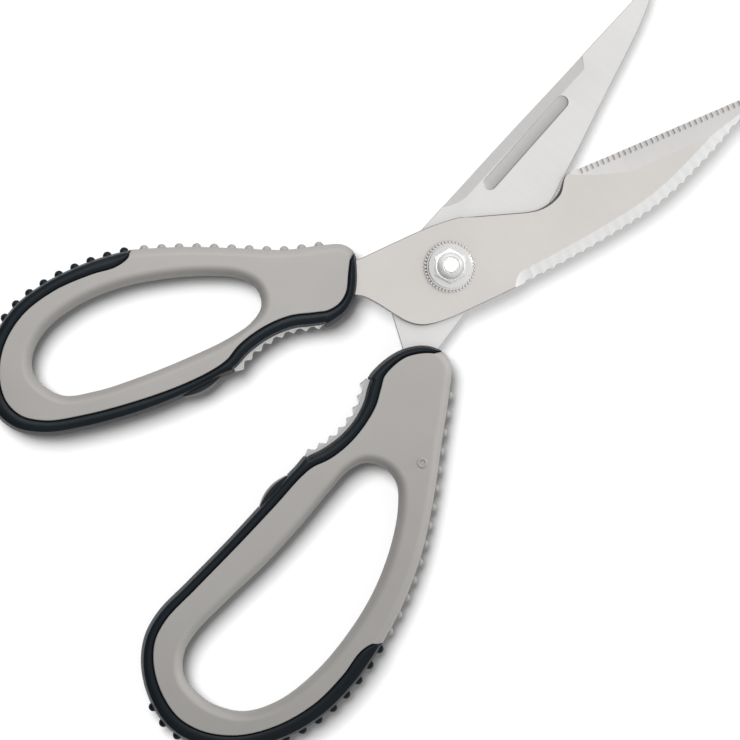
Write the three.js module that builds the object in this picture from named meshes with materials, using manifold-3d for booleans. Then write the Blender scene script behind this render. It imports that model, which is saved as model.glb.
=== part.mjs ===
// Game shears: two steel blades turning on one bolt, each blade held in a two-colour moulded handle.
// Millimetres. X runs from the handles to the blade tips, Y across the shears, Z up along the bolt.
// The origin is on the bolt's axis, on the plane that the shears lie on.
// Each half is drawn in its own closed position and then turned open about the bolt.
import * as THREE from 'three';
import { mergeVertices } from 'three/addons/utils/BufferGeometryUtils.js';
import Module from 'manifold-3d';

const wasm = await Module();
wasm.setup();

// Opening of the halves as they lie, in degrees
const restOpening = 24.5;

// Clearances
const runningGap = 0.3; // between pieces that turn on each other
const seatGap = 0.3; // round a piece that is set into another
const stackGap = 0.2; // between the washers and nuts on the bolt
const cutterOverrun = 1.0; // how far a cutting shape reaches past what it cuts

// Blades
const bladeThickness = 3.0;
const edgeThickness = 0.5; // steel left at a cutting edge
const hollowGrindWidth = 6.4; // ground strip behind the serrated edge
const plainGrindWidth = 5.0; // ground strip behind the plain edge, on the rear blade's back
const serrationPitch = 1.68;
const serrationRadius = 0.55;
const serrationReach = 1.5; // how far a serration runs in from the edge
const scalerPitch = 3.65;
const scalerRadius = 2.4;
const scalerDepth = 0.8; // bite of each scallop
const scalerBevelWidth = 3.2;
const scalerBevelDepth = 1.2;
const spineBevelWidth = 3.1;
const spineBevelDepth = 0.9;
const grindRunOut = 8.0; // length over which a ground strip begins
const fullerWidth = 3.2;
const fullerDepth = 0.8;

// Handles
const handleThickness = 13.0;
const sideBulge = 2.0; // how far the sides swell past the flat faces
const sideRound = 4.0; // height of the swelling, from each flat face
const nubRadius = 1.3;
const nubProud = 1.25; // how far a nub stands out of the side
const upperBackNubPitch = 4.84;
const upperFrontNubPitch = 4.71;
const lowerBackNubPitch = 5.22;
const lowerFrontNubPitch = 5.27;

// Nut-cracking jaws and stop pads
const jawTeeth = 7;
const jawToothHeight = 1.9;
const jawRootHeight = 0.4;
const jawSeatDepth = 1.3;
const jawWidth = 6.0; // across the handle's thickness
const stopLength = 11.5;
const stopHeight = 1.4;
const stopSeatDepth = 1.0;
const upperStopClearance = 4.1; // from the jaw's back end to the pad
const lowerStopClearance = 6.7;
const stopWidth = 7.0;

// Pivot
const shankRadius = 2.6;
const boltHeadRadius = 6.4;
const boltHeadChamfer = 0.6;
const squareNeck = 6.6; // across the flats, keyed in the rear blade
const knurlRadius = 7.3;
const knurlDepth = 0.55;
const knurlTeeth = 44;
const knurledRingHeight = 1.3;
const washerRadius = 6.1;
const washerHeight = 0.7;
const hexAcrossCorners = 9.8;
const hexTurn = 19.4; // degrees, as the nut stands in the photo
const hexHeight = 2.4;
const domeRadius = 3.8;
const domeHeight = 2.5;

// Levels along the bolt, from the plane that the shears lie on
const shearPlane = handleThickness / 2;
const rearBladeTop = shearPlane - runningGap / 2;
const rearBladeBottom = rearBladeTop - bladeThickness;
const boltHeadHeight = rearBladeBottom - runningGap;
const frontBladeBottom = shearPlane + runningGap / 2;
const frontBladeTop = frontBladeBottom + bladeThickness;
const knurledRingBottom = frontBladeTop + runningGap;
const knurledRingTop = knurledRingBottom + knurledRingHeight;
const washerBottom = knurledRingTop + stackGap;
const capNutBottom = washerBottom + washerHeight + stackGap;
const hexTop = capNutBottom + hexHeight;
const capNutTop = hexTop + domeHeight;
const boltEnd = hexTop - stackGap;

// Handle outlines at mid thickness. Each point is x, y and the width of the black edging there.
// Both start at the edging's front tip, run along the inner side, round the back end and home outside.
const upperOutline = [
  [-21.2, 16.6, 0.9], [-23.1, 11.2, 2.7], [-27.0, 5.6, 2.9], [-31.3, 2.8, 3.3], [-36.5, 2.3, 3.6],
  [-41.0, 3.7, 3.9], [-47.0, 6.1, 4.0], [-54.0, 6.9, 3.9], [-61.0, 6.0, 3.9], [-66.0, 4.4, 3.5],
  [-72.0, 4.3, 2.8], [-82.0, 4.6, 3.1], [-95.0, 6.3, 3.6], [-110.0, 9.9, 3.8], [-121.4, 14.2, 3.9],
  [-128.3, 19.9, 4.3], [-130.8, 27.5, 4.5], [-128.6, 36.1, 4.3], [-122.0, 44.3, 3.9], [-112.0, 49.9, 3.7],
  [-100.0, 51.7, 3.6], [-88.0, 50.9, 3.9], [-80.5, 49.4, 4.0], [-76.6, 48.3, 2.4], [-75.0, 47.7, 0],
  [-62.0, 41.3, 0], [-50.0, 34.2, 0], [-38.0, 26.9, 0], [-28.0, 22.8, 0], [-23.0, 20.2, 0],
];
const lowerOutline = [
  [-20.2, -12.2, 0.9], [-21.8, -7.3, 2.3], [-26.2, -3.0, 2.5], [-31.0, -0.8, 2.9], [-36.2, 0.1, 3.4],
  [-40.5, -0.9, 3.8], [-45.0, -2.6, 3.7], [-50.5, -3.4, 3.4], [-56.0, -2.9, 3.5], [-61.5, -1.2, 3.7],
  [-66.5, 1.2, 3.5], [-71.5, 2.2, 3.2], [-82.0, 3.3, 3.2], [-98.0, 5.1, 3.0], [-114.0, 7.4, 3.0],
  [-126.0, 9.1, 3.1], [-133.8, 8.0, 3.2], [-141.0, 3.8, 3.6], [-147.2, -3.8, 4.0], [-150.4, -12.8, 4.3],
  [-149.2, -22.5, 4.4], [-143.5, -32.3, 4.4], [-134.0, -40.2, 4.4], [-122.0, -45.5, 4.4], [-110.0, -47.4, 4.4],
  [-101.5, -47.4, 4.3], [-97.6, -47.1, 2.6], [-95.9, -46.8, 0], [-85.0, -45.3, 0], [-70.3, -41.3, 0],
  [-55.6, -34.9, 0], [-40.9, -27.2, 0], [-28.0, -20.5, 0], [-21.8, -16.6, 0],
];
const thumbHole = [
  [-116.0, 30.2], [-113.9, 35.4], [-107.5, 39.8], [-96.5, 41.7], [-84.0, 40.4], [-72.0, 36.7],
  [-60.0, 31.1], [-52.7, 26.0], [-50.0, 21.2], [-51.2, 16.4], [-55.8, 13.7], [-64.0, 12.9],
  [-76.0, 13.7], [-90.0, 15.5], [-103.0, 18.1], [-112.1, 21.9],
];
const fingerHole = [
  [-137.8, -14.6], [-136.1, -7.8], [-131.5, -4.0], [-125.3, -2.9], [-112.0, -4.7], [-98.0, -7.3],
  [-84.0, -9.0], [-70.0, -9.9], [-62.4, -10.9], [-58.0, -13.6], [-56.2, -18.6], [-57.5, -23.6],
  [-62.8, -28.1], [-73.0, -32.9], [-86.0, -36.4], [-100.0, -37.5], [-114.0, -36.4], [-126.1, -32.8],
  [-133.8, -27.2], [-137.1, -20.6],
];

// Places along an outline, as positions between its numbered points
const upperJawSpan = [4.75, 9.1];
const lowerJawSpan = [4.6, 10.0];
const upperBackNubs = [16.92, 22.86]; // on the edging
const upperFrontNubs = [24.38, 27.83]; // on the core
const lowerBackNubs = [18.22, 25.88];
const lowerFrontNubs = [27.42, 31.94];
const upperEdgingEnd = 24;
const lowerEdgingEnd = 27;
const edgingEndGap = 0.15; // left between the core and the edging's ends

// Blade outlines: corners of the cutting edges and the curves between them
const frontTip = [97.2, 0.8];
const frontHeel = [42.4, 6.6];
const boneNotch = [[41.2, 6.5], [39.8, 5.4], [37.2, 3.2], [33.6, 1.95], [29.8, 1.9], [26.5, 2.9]];
const frontShoulder = [9.8, 10.5];
const frontTop = [[7.6, 11.2], [0, 12.6], [-10, 13.5], [-20, 14.2]];
const frontTang = [[-28, 15.6], [-42, 20.4], [-44.4, 19.6], [-44.6, 15.2], [-43.2, 13.6], [-33, 9.6],
  [-27.2, 6.3]];
const frontNeck = [[-24.8, 4.2], [-22.4, 0.5], [-20, -4], [-17.6, -7.9], [-14, -10.8], [-8, -12.4], [0, -13.2]];
const frontBack = [[15, -14.2], [30, -14.7], [45, -14.6], [57, -13.9], [66, -12.4], [74, -10.2], [82, -7.7],
  [90, -4.6], [95, -1.9]];
const rearTip = [98, 0.2];
const rearSpine = [[95.8, 1.6], [92, 2.4], [75, 4.4], [60, 6.1], [40, 8.5], [20, 10.7], [3.5, 12.5]];
const rearShoulder = [[-5, 12.9], [-11, 12.0], [-15.5, 10.0], [-18.6, 7.0], [-20.6, 4.2]];
const rearTang = [[-26, -3], [-29, -5.4], [-36, -8.2], [-49.4, -13.2], [-50.6, -15], [-49.8, -18.6],
  [-48, -19.4], [-36, -15.9], [-20, -11]];
const rearEdge = [[-8, -11.3], [2, -12.2], [15, -12.9], [30, -12.3], [40, -11.0], [50, -9.5], [60, -7.8],
  [70, -6.2], [80, -4.6], [88, -3.1], [94, -1.5]];
const scalerStart = 17; // first scallop, along X
const scalerTeeth = 14;
const scalerBevelStart = 15.5;
const serrationStart = 44;
const serrationTeeth = 31;
const plainGrindStart = 10;
const spineBevelSpan = [12, 70.5];
const fullerFrom = [26.1, 4.6];
const fullerTo = [56.6, 1.75];

// Facets of the round stretches
const outlineSteps = 2;
const bladeSteps = 3;
const roundFacets = 28;
const scallopFacets = 14;
const grooveFacets = 5;
const handleRoundSteps = 2;
const lensSteps = 8;
const domeSteps = 6;
const nubFacets = 6;
const nubRings = 4;
const fullerFacets = 24;
const fullerEndSteps = 6;
const hexSides = 6;
const tangentStep = 0.01; // of the way between two outline points
const searchSteps = 40; // between two outline points, to find a place along a curve

const steel = { metalness: 1.0, roughness: 0.34 };
const materials = {
  frontSteel: new THREE.MeshStandardMaterial({ color: 0xd6d2cc, ...steel }),
  rearSteel: new THREE.MeshStandardMaterial({ color: 0xe0dedb, ...steel }),
  pivotSteel: new THREE.MeshStandardMaterial({ color: 0xdadad8, metalness: 1.0, roughness: 0.2 }),
  jawSteel: new THREE.MeshStandardMaterial({ color: 0xc4c2be, metalness: 1.0, roughness: 0.42 }),
  greyPlastic: new THREE.MeshStandardMaterial({ color: 0xaeaaa5, metalness: 0.0, roughness: 0.62 }),
  blackRubber: new THREE.MeshStandardMaterial({ color: 0x1c2226, metalness: 0.0, roughness: 0.5 }),
};

// A closed geometry as a solid that can be joined and cut
function solid(geometry) {
  geometry.deleteAttribute('normal');
  geometry.deleteAttribute('uv');
  const welded = mergeVertices(geometry, 1e-4);
  return new wasm.Manifold(new wasm.Mesh({
    numProp: 3,
    vertProperties: new Float32Array(welded.attributes.position.array),
    triVerts: new Uint32Array(welded.index.array),
  }));
}

function named(name, body, material) {
  const mesh = body.getMesh();
  const geometry = new THREE.BufferGeometry();
  geometry.setAttribute('position', new THREE.BufferAttribute(new Float32Array(mesh.vertProperties), 3));
  geometry.setIndex(new THREE.BufferAttribute(new Uint32Array(mesh.triVerts), 1));
  geometry.computeVertexNormals();
  const node = new THREE.Mesh(geometry, material);
  node.name = name;
  return node;
}

function points2(list) {
  return list.map(([x, y]) => new THREE.Vector2(x, y));
}

function prism(outline, bottom, top) {
  const shape = new THREE.Shape(outline);
  const geometry = new THREE.ExtrudeGeometry(shape, { depth: top - bottom, bevelEnabled: false });
  return solid(geometry.translate(0, 0, bottom));
}

function cylinder(x, y, bottom, top, radius, facets = roundFacets) {
  const geometry = new THREE.CylinderGeometry(radius, radius, top - bottom, facets);
  geometry.rotateX(Math.PI / 2);
  return solid(geometry.translate(x, y, (bottom + top) / 2));
}

// A clearance hole for the bolt, up to a level
function boreOut(body, top) {
  return body.subtract(cylinder(0, 0, 0, top, shankRadius + runningGap));
}

// A closed spline through an outline's points: position, inward normal and edging width at each step
function outlineSamples(list) {
  const curve = new THREE.CatmullRomCurve3(list.map(([x, y, w = 0]) => new THREE.Vector3(x, y, w)), true);
  const turn = Math.sign(THREE.ShapeUtils.area(points2(list)));
  const place = (position) => curve.getPoint(THREE.MathUtils.euclideanModulo(position / list.length, 1));
  const at = (position) => {
    const point = place(position);
    const along = place(position + tangentStep).sub(place(position - tangentStep));
    const across = new THREE.Vector2(-along.y, along.x).normalize().multiplyScalar(turn);
    return { point: new THREE.Vector2(point.x, point.y), inward: across, width: Math.max(point.z, 0) };
  };
  return at;
}

// The samples of an outline between two of its positions
function stretch(at, from, to, steps) {
  const samples = [];
  for (let i = 0; i <= steps; i += 1) {
    samples.push(at(from + ((to - from) * i) / steps));
  }
  return samples;
}

// The position a distance further along an outline, in millimetres
function further(at, from, distance) {
  let position = from;
  let left = distance;
  while (left > 0) {
    const next = position + 1 / searchSteps;
    left -= at(position).point.distanceTo(at(next).point);
    position = next;
  }
  return position;
}

function inset(sample, distance) {
  return sample.point.clone().addScaledVector(sample.inward, distance);
}

// A strip along an outline, from an inner depth to an outer reach at each sample
function strip(samples, depth, reach) {
  const inner = samples.map((sample, i) => inset(sample, depth(sample, i)));
  const outer = samples.map((sample, i) => inset(sample, -reach(sample, i)));
  return [...inner, ...outer.reverse()];
}

// An outline moved outwards by a gap, for the pocket that takes a piece
function grown(outline, gap) {
  const turn = Math.sign(THREE.ShapeUtils.area(outline));
  return outline.map((point, i) => {
    const before = outline[(i + outline.length - 1) % outline.length];
    const after = outline[(i + 1) % outline.length];
    const a = point.clone().sub(before).normalize();
    const b = after.clone().sub(point).normalize();
    const out = new THREE.Vector2(a.y + b.y, -(a.x + b.x)).normalize().multiplyScalar(turn);
    const share = Math.max(0.5, out.dot(new THREE.Vector2(a.y, -a.x).multiplyScalar(turn)));
    return point.clone().addScaledVector(out, gap / share);
  });
}

// A flat section of [across, height] points carried along a path, with across to the path's left
function sweep(path, section) {
  const positions = [];
  const index = [];
  const sides = section.length;
  const flat = points2(section);
  if (THREE.ShapeUtils.isClockWise(flat)) flat.reverse();
  path.forEach((point, i) => {
    const before = path[Math.max(i - 1, 0)];
    const after = path[Math.min(i + 1, path.length - 1)];
    const along = after.clone().sub(before).normalize();
    for (const corner of flat) {
      positions.push(point.x - along.y * corner.x, point.y + along.x * corner.x, corner.y);
    }
  });
  for (let i = 0; i + 1 < path.length; i += 1) {
    for (let k = 0; k < sides; k += 1) {
      const a = i * sides + k;
      const b = i * sides + ((k + 1) % sides);
      index.push(a, b, a + sides, b, b + sides, a + sides);
    }
  }
  const last = (path.length - 1) * sides;
  for (const [a, b, c] of THREE.ShapeUtils.triangulateShape(flat, [])) {
    index.push(a, c, b, last + a, last + b, last + c);
  }
  const geometry = new THREE.BufferGeometry();
  geometry.setAttribute('position', new THREE.Float32BufferAttribute(positions, 3));
  geometry.setIndex(index);
  return solid(geometry);
}

// Handles

function wholeHandle(outline, hole) {
  const at = outlineSamples(outline);
  const holeAt = outlineSamples(hole);
  const rim = stretch(at, 0, outline.length, outline.length * outlineSteps).slice(0, -1);
  const eye = stretch(holeAt, 0, hole.length, hole.length * outlineSteps).slice(0, -1);
  const contour = rim.map((sample) => sample.point);
  if (THREE.ShapeUtils.isClockWise(contour)) contour.reverse();
  const shape = new THREE.Shape(contour);
  shape.holes.push(new THREE.Path(eye.map((sample) => sample.point)));
  const geometry = new THREE.ExtrudeGeometry(shape, {
    depth: handleThickness - 2 * sideRound,
    bevelThickness: sideRound,
    bevelSize: sideBulge,
    bevelOffset: -sideBulge,
    bevelSegments: handleRoundSteps,
  });
  return solid(geometry.translate(0, 0, sideRound));
}

// Nubs along the outer side at mid thickness, a pitch apart
function nubs(at, [from, to], pitch) {
  const samples = stretch(at, from, to, Math.ceil((to - from) * searchSteps));
  const balls = [];
  let run = pitch;
  samples.forEach((sample, i) => {
    run += i > 0 ? sample.point.distanceTo(samples[i - 1].point) : 0;
    if (run < pitch) return;
    run -= pitch;
    const centre = inset(sample, nubRadius - nubProud);
    const ball = new THREE.SphereGeometry(nubRadius, nubFacets, nubRings);
    balls.push(solid(ball.translate(centre.x, centre.y, shearPlane)));
  });
  return balls;
}

function joined(body, additions) {
  return additions.reduce((sum, piece) => sum.add(piece), body);
}

// A toothed strip along the jaw's hollow, and the pocket that takes it
function jaw(at, span) {
  const samples = stretch(at, span[0], span[1], jawTeeth * 2);
  const teeth = (sample, i) => (i % 2 === 1 ? jawToothHeight : jawRootHeight);
  const outline = strip(samples, () => jawSeatDepth, teeth);
  const mouth = strip(samples, () => jawSeatDepth, () => sideBulge + jawToothHeight);
  const half = jawWidth / 2;
  return {
    body: prism(outline, shearPlane - half, shearPlane + half),
    pocket: prism(grown(mouth, seatGap), shearPlane - half - seatGap, shearPlane + half + seatGap),
  };
}

// A lens-shaped pad on the inner side, and the pocket that takes it
function stopPad(at, position) {
  const centre = at(position);
  const along = new THREE.Vector2(-centre.inward.y, centre.inward.x);
  const corner = (share, depth) => inset(centre, depth).addScaledVector(along, (share * stopLength) / 2);
  const lens = [];
  for (let i = 0; i <= lensSteps; i += 1) {
    const share = (i / lensSteps) * 2 - 1;
    lens.push(corner(share, -stopHeight * (1 - share * share)));
  }
  const foot = [corner(1, stopSeatDepth), corner(-1, stopSeatDepth)];
  const above = -sideBulge - stopHeight;
  const mouth = [...foot, corner(-1, above), corner(1, above)];
  const half = stopWidth / 2;
  return {
    body: prism([...lens, ...foot], shearPlane - half, shearPlane + half),
    pocket: prism(grown(mouth, seatGap), shearPlane - half - seatGap, shearPlane + half + seatGap),
  };
}

function handle(side, plan, tangPocket) {
  const at = outlineSamples(plan.outline);
  const nubRows = plan.nubRows.flatMap(([span, pitch]) => nubs(at, span, pitch));
  const whole = joined(wholeHandle(plan.outline, plan.hole), nubRows);
  const reach = nubRadius + nubProud;
  const steps = plan.edgingEnd * outlineSteps;
  const inner = stretch(at, 0, plan.edgingEnd, steps);
  const cut = stretch(at, -edgingEndGap, plan.edgingEnd + edgingEndGap, steps + 2);
  const above = handleThickness + cutterOverrun;
  const edgingPrism = prism(strip(inner, (s) => s.width, () => reach), -cutterOverrun, above);
  const coreCut = prism(strip(cut, (s) => s.width + seatGap, () => reach), -cutterOverrun, above);
  const toothed = jaw(at, plan.jawSpan);
  const pad = stopPad(at, further(at, plan.jawSpan[1], plan.stopClearance + stopLength / 2));
  const core = whole.subtract(coreCut).subtract(tangPocket);
  const band = whole.intersect(edgingPrism).subtract(tangPocket);
  const edging = band.subtract(toothed.pocket).subtract(pad.pocket);
  return [
    named(`${side}_handle_core`, core, materials.greyPlastic),
    named(`${side}_handle_edging`, edging, materials.blackRubber),
    named(`${side}_jaw_strip`, toothed.body, materials.jawSteel),
    named(`${side}_stop_pad`, pad.body, materials.blackRubber),
  ];
}

// Blades

function frontBladeOutline() {
  const shape = new THREE.Shape();
  shape.moveTo(...frontTip);
  shape.lineTo(...frontHeel);
  shape.splineThru(points2(boneNotch));
  shape.lineTo(...frontShoulder);
  shape.splineThru(points2(frontTop));
  frontTang.forEach((point) => shape.lineTo(...point));
  shape.splineThru(points2([...frontNeck, ...frontBack, frontTip]));
  return shape.extractPoints(bladeSteps).shape.slice(0, -1);
}

function rearBladeOutline() {
  const shape = new THREE.Shape();
  shape.moveTo(...rearTip);
  shape.splineThru(points2([...rearSpine, ...rearShoulder]));
  rearTang.forEach((point) => shape.lineTo(...point));
  shape.splineThru(points2([...rearEdge, rearTip]));
  return shape.extractPoints(bladeSteps).shape.slice(0, -1);
}

// The part of a curve that lies between two places along X
function between(list, fromX, toX, steps = bladeSteps) {
  const curve = new THREE.SplineCurve(points2(list));
  return curve.getPoints(list.length * steps).filter((point) => point.x >= fromX && point.x <= toX);
}

// A grinding path whose low-X end eases in from outside the blade, to its right as the path runs
function withRunOut(path, width) {
  const startX = Math.min(path[0].x, path[path.length - 1].x);
  return path.map((point, i) => {
    const before = path[Math.max(i - 1, 0)];
    const after = path[Math.min(i + 1, path.length - 1)];
    const along = after.clone().sub(before).normalize();
    const share = Math.max(0, 1 - (point.x - startX) / grindRunOut);
    return point.clone().addScaledVector(new THREE.Vector2(along.y, -along.x), width * share * share);
  });
}

// A wedge that takes a ground strip off an edge: the full depth at the edge, nothing at the strip's width
function grindSection(width, depth, level, out) {
  const rise = (depth * cutterOverrun) / width;
  const above = level + out * cutterOverrun;
  const below = level - out * (depth + rise);
  return [[width, level], [-cutterOverrun, below], [-cutterOverrun, above], [width, above]];
}

function frontBlade(outline) {
  const heel = new THREE.Vector2(...frontHeel);
  const tip = new THREE.Vector2(...frontTip);
  const run = tip.clone().sub(heel).normalize();
  const pastTip = tip.clone().addScaledVector(run, cutterOverrun);
  const pastHeel = heel.clone().addScaledVector(run, -cutterOverrun);
  const edgeDepth = bladeThickness - edgeThickness;
  const hollowGrind = sweep([pastTip, pastHeel], grindSection(hollowGrindWidth, edgeDepth, frontBladeTop, 1));
  const backCurve = [...frontNeck, ...frontBack, frontTip];
  const backPath = withRunOut(between(backCurve, scalerBevelStart, frontTip[0]), scalerBevelWidth);
  const scalerBevel = sweep(backPath, grindSection(scalerBevelWidth, scalerBevelDepth, frontBladeTop, 1));
  let blade = prism(outline, frontBladeBottom, frontBladeTop).subtract(hollowGrind).subtract(scalerBevel);
  blade = boreOut(blade, boltEnd);
  const back = between(backCurve, 0, frontTip[0], searchSteps);
  const below = frontBladeBottom - cutterOverrun;
  const above = frontBladeTop + cutterOverrun;
  for (let i = 0; i < scalerTeeth; i += 1) {
    const k = back.findIndex((point) => point.x >= scalerStart + i * scalerPitch);
    const along = back[k + 1].clone().sub(back[k - 1]).normalize();
    const outward = new THREE.Vector2(along.y, -along.x);
    const centre = back[k].clone().addScaledVector(outward, scalerRadius - scalerDepth);
    blade = blade.subtract(cylinder(centre.x, centre.y, below, above, scalerRadius, scallopFacets));
  }
  for (let i = 0; i < serrationTeeth; i += 1) {
    const place = heel.clone().addScaledVector(run, serrationStart - frontHeel[0] + i * serrationPitch);
    const length = 2 * serrationReach;
    const groove = new THREE.CylinderGeometry(serrationRadius, serrationRadius, length, grooveFacets);
    groove.rotateZ(run.angle());
    blade = blade.subtract(solid(groove.translate(place.x, place.y, frontBladeBottom + edgeThickness)));
  }
  return named('front_blade', blade, materials.frontSteel);
}

function rearBlade(outline) {
  const edgePath = withRunOut(between([...rearEdge, rearTip], plainGrindStart, rearTip[0]), plainGrindWidth);
  const edgeDepth = bladeThickness - edgeThickness;
  const grind = sweep(edgePath, grindSection(plainGrindWidth, edgeDepth, rearBladeBottom, -1));
  const spinePath = withRunOut(between([rearTip, ...rearSpine], ...spineBevelSpan), spineBevelWidth);
  const relief = sweep(spinePath, grindSection(spineBevelWidth, spineBevelDepth, rearBladeTop, 1));
  const fullerRadius = (fullerWidth * fullerWidth) / 8 / fullerDepth + fullerDepth / 2;
  const from = new THREE.Vector2(...fullerFrom);
  const to = new THREE.Vector2(...fullerTo);
  const run = to.clone().sub(from);
  const fuller = new THREE.CapsuleGeometry(fullerRadius, run.length(), fullerEndSteps, fullerFacets);
  fuller.rotateZ(run.angle() - Math.PI / 2);
  fuller.translate((from.x + to.x) / 2, (from.y + to.y) / 2, rearBladeTop + fullerRadius - fullerDepth);
  const key = squareNeck + 2 * seatGap;
  const keyway = new THREE.BoxGeometry(key, key, 2 * handleThickness);
  const blade = prism(outline, rearBladeBottom, rearBladeTop).subtract(grind).subtract(relief)
    .subtract(solid(fuller)).subtract(solid(keyway));
  return named('rear_blade', blade, materials.rearSteel);
}

// Pivot

function lathe(profile, facets = roundFacets) {
  const geometry = new THREE.LatheGeometry(points2(profile), facets);
  return solid(geometry.rotateX(Math.PI / 2));
}

function pivotBolt() {
  const turned = lathe([[0, 0], [boltHeadRadius - boltHeadChamfer, 0], [boltHeadRadius, boltHeadChamfer],
    [boltHeadRadius, boltHeadHeight], [shankRadius, boltHeadHeight], [shankRadius, boltEnd], [0, boltEnd]]);
  const neckHeight = rearBladeTop - boltHeadHeight;
  const neck = new THREE.BoxGeometry(squareNeck, squareNeck, neckHeight);
  neck.translate(0, 0, boltHeadHeight + neckHeight / 2);
  return named('pivot_bolt', turned.add(solid(neck)), materials.pivotSteel);
}

function knurledRing() {
  const teeth = [];
  for (let i = 0; i < knurlTeeth * 2; i += 1) {
    const angle = (Math.PI * i) / knurlTeeth;
    const radius = i % 2 === 0 ? knurlRadius : knurlRadius - knurlDepth;
    teeth.push(new THREE.Vector2(radius * Math.cos(angle), radius * Math.sin(angle)));
  }
  const ring = prism(teeth, knurledRingBottom, knurledRingTop);
  return named('knurled_ring', boreOut(ring, capNutTop), materials.pivotSteel);
}

function washer() {
  const disc = cylinder(0, 0, washerBottom, washerBottom + washerHeight, washerRadius);
  return named('plain_washer', boreOut(disc, capNutTop), materials.pivotSteel);
}

function capNut() {
  const upright = cylinder(0, 0, capNutBottom, hexTop, hexAcrossCorners / 2, hexSides);
  const hex = upright.rotate([0, 0, hexTurn]);
  const domeFoot = hexTop - stackGap;
  const dome = [[0, domeFoot], [domeRadius, domeFoot]];
  for (let i = 0; i < domeSteps; i += 1) {
    const angle = (Math.PI / 2) * (i / domeSteps);
    dome.push([domeRadius * Math.cos(angle), hexTop + domeHeight * Math.sin(angle)]);
  }
  dome.push([0, capNutTop]);
  return named('cap_nut', boreOut(hex.add(lathe(dome)), hexTop), materials.pivotSteel);
}

const frontOutline = frontBladeOutline();
const rearOutline = rearBladeOutline();
const upperPocket = prism(grown(frontOutline, seatGap), frontBladeBottom - seatGap, frontBladeTop + seatGap);
const lowerPocket = prism(grown(rearOutline, seatGap), rearBladeBottom - seatGap, rearBladeTop + seatGap);

const upperPlan = {
  outline: upperOutline, hole: thumbHole, edgingEnd: upperEdgingEnd, jawSpan: upperJawSpan,
  stopClearance: upperStopClearance,
  nubRows: [[upperBackNubs, upperBackNubPitch], [upperFrontNubs, upperFrontNubPitch]],
};
const lowerPlan = {
  outline: lowerOutline, hole: fingerHole, edgingEnd: lowerEdgingEnd, jawSpan: lowerJawSpan,
  stopClearance: lowerStopClearance,
  nubRows: [[lowerBackNubs, lowerBackNubPitch], [lowerFrontNubs, lowerFrontNubPitch]],
};

const frontHalf = new THREE.Group();
frontHalf.add(frontBlade(frontOutline), ...handle('upper', upperPlan, upperPocket));
frontHalf.rotation.z = THREE.MathUtils.degToRad(-restOpening / 2);

const rearHalf = new THREE.Group();
rearHalf.add(rearBlade(rearOutline), ...handle('lower', lowerPlan, lowerPocket), pivotBolt());
rearHalf.rotation.z = THREE.MathUtils.degToRad(restOpening / 2);

const tensionNut = new THREE.Group();
tensionNut.add(knurledRing(), washer(), capNut());

const shears = new THREE.Group();
shears.add(frontHalf, rearHalf, tensionNut);
export default shears;
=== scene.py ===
import math

import bmesh
import bpy
import numpy as np
from mathutils import Matrix, Vector
from mathutils.geometry import delaunay_2d_cdt


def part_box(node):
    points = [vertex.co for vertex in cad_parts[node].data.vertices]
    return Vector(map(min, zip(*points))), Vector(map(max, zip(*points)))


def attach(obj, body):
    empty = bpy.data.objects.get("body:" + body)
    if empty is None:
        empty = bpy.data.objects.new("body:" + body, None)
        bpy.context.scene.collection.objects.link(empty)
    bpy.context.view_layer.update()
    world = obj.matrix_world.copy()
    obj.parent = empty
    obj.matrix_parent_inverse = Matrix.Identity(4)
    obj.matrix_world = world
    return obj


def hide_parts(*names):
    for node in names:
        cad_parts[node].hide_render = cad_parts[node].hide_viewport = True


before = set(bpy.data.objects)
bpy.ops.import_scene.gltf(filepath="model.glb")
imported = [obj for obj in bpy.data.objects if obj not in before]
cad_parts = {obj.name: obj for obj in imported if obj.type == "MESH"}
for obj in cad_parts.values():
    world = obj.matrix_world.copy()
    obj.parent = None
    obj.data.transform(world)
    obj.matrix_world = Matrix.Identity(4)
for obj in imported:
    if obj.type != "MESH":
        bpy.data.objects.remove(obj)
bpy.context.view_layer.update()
scene = bpy.context.scene
mm = 0.001
weld = 0.0005   # points nearer than this are one
softAngle = 35  # flatter edges than this are shaded smooth

# both halves are drawn closed in millimetres, then turned open about the bolt as they lie in the picture
restOpening = 24.5
frontTurn = Matrix.Rotation(math.radians(-restOpening / 2), 4, "Z")
rearTurn = Matrix.Rotation(math.radians(restOpening / 2), 4, "Z")
print("frame loaded,", len(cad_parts), "solids")


def levels(node):
    low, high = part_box(node)
    return low.z / mm, high.z / mm


# curves

def spanPoints(b, c, leave, arrive, steps):  # points from b up to c, by the slopes at both
    share = np.arange(steps)[:, None] / steps
    return (b + leave * share + (3 * (c - b) - 2 * leave - arrive) * share ** 2
            + (2 * (b - c) + leave + arrive) * share ** 3)


def closedCurve(points, perSpan):  # centripetal spline round a closed list, any extra columns carried along
    knots = np.array(points, float)
    spans = []
    for a, b, c, d in zip(*(np.roll(knots, k, axis=0) for k in (1, 0, -1, -2))):
        ab, bc, cd = (np.linalg.norm(q - p) ** 0.5 for p, q in ((a, b), (b, c), (c, d)))
        leave = ((b - a) / ab - (c - a) / (ab + bc) + (c - b) / bc) * bc
        arrive = ((c - b) / bc - (d - b) / (bc + cd) + (d - c) / cd) * bc
        spans.append(spanPoints(b, c, leave, arrive, perSpan))
    return np.vstack(spans)


def openCurve(points, spacing):  # even spline through a list, first and last point kept
    knots = np.array(points, float)
    ends = np.vstack([knots[:1], knots, knots[-1:]])
    spans = []
    for a, b, c, d in zip(ends, ends[1:], ends[2:], ends[3:]):
        steps = math.ceil(np.linalg.norm(c - b) / spacing)
        spans.append(spanPoints(b, c, (c - a) / 2, (d - b) / 2, steps))
    return np.vstack([*spans, knots[-1:]])


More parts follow.
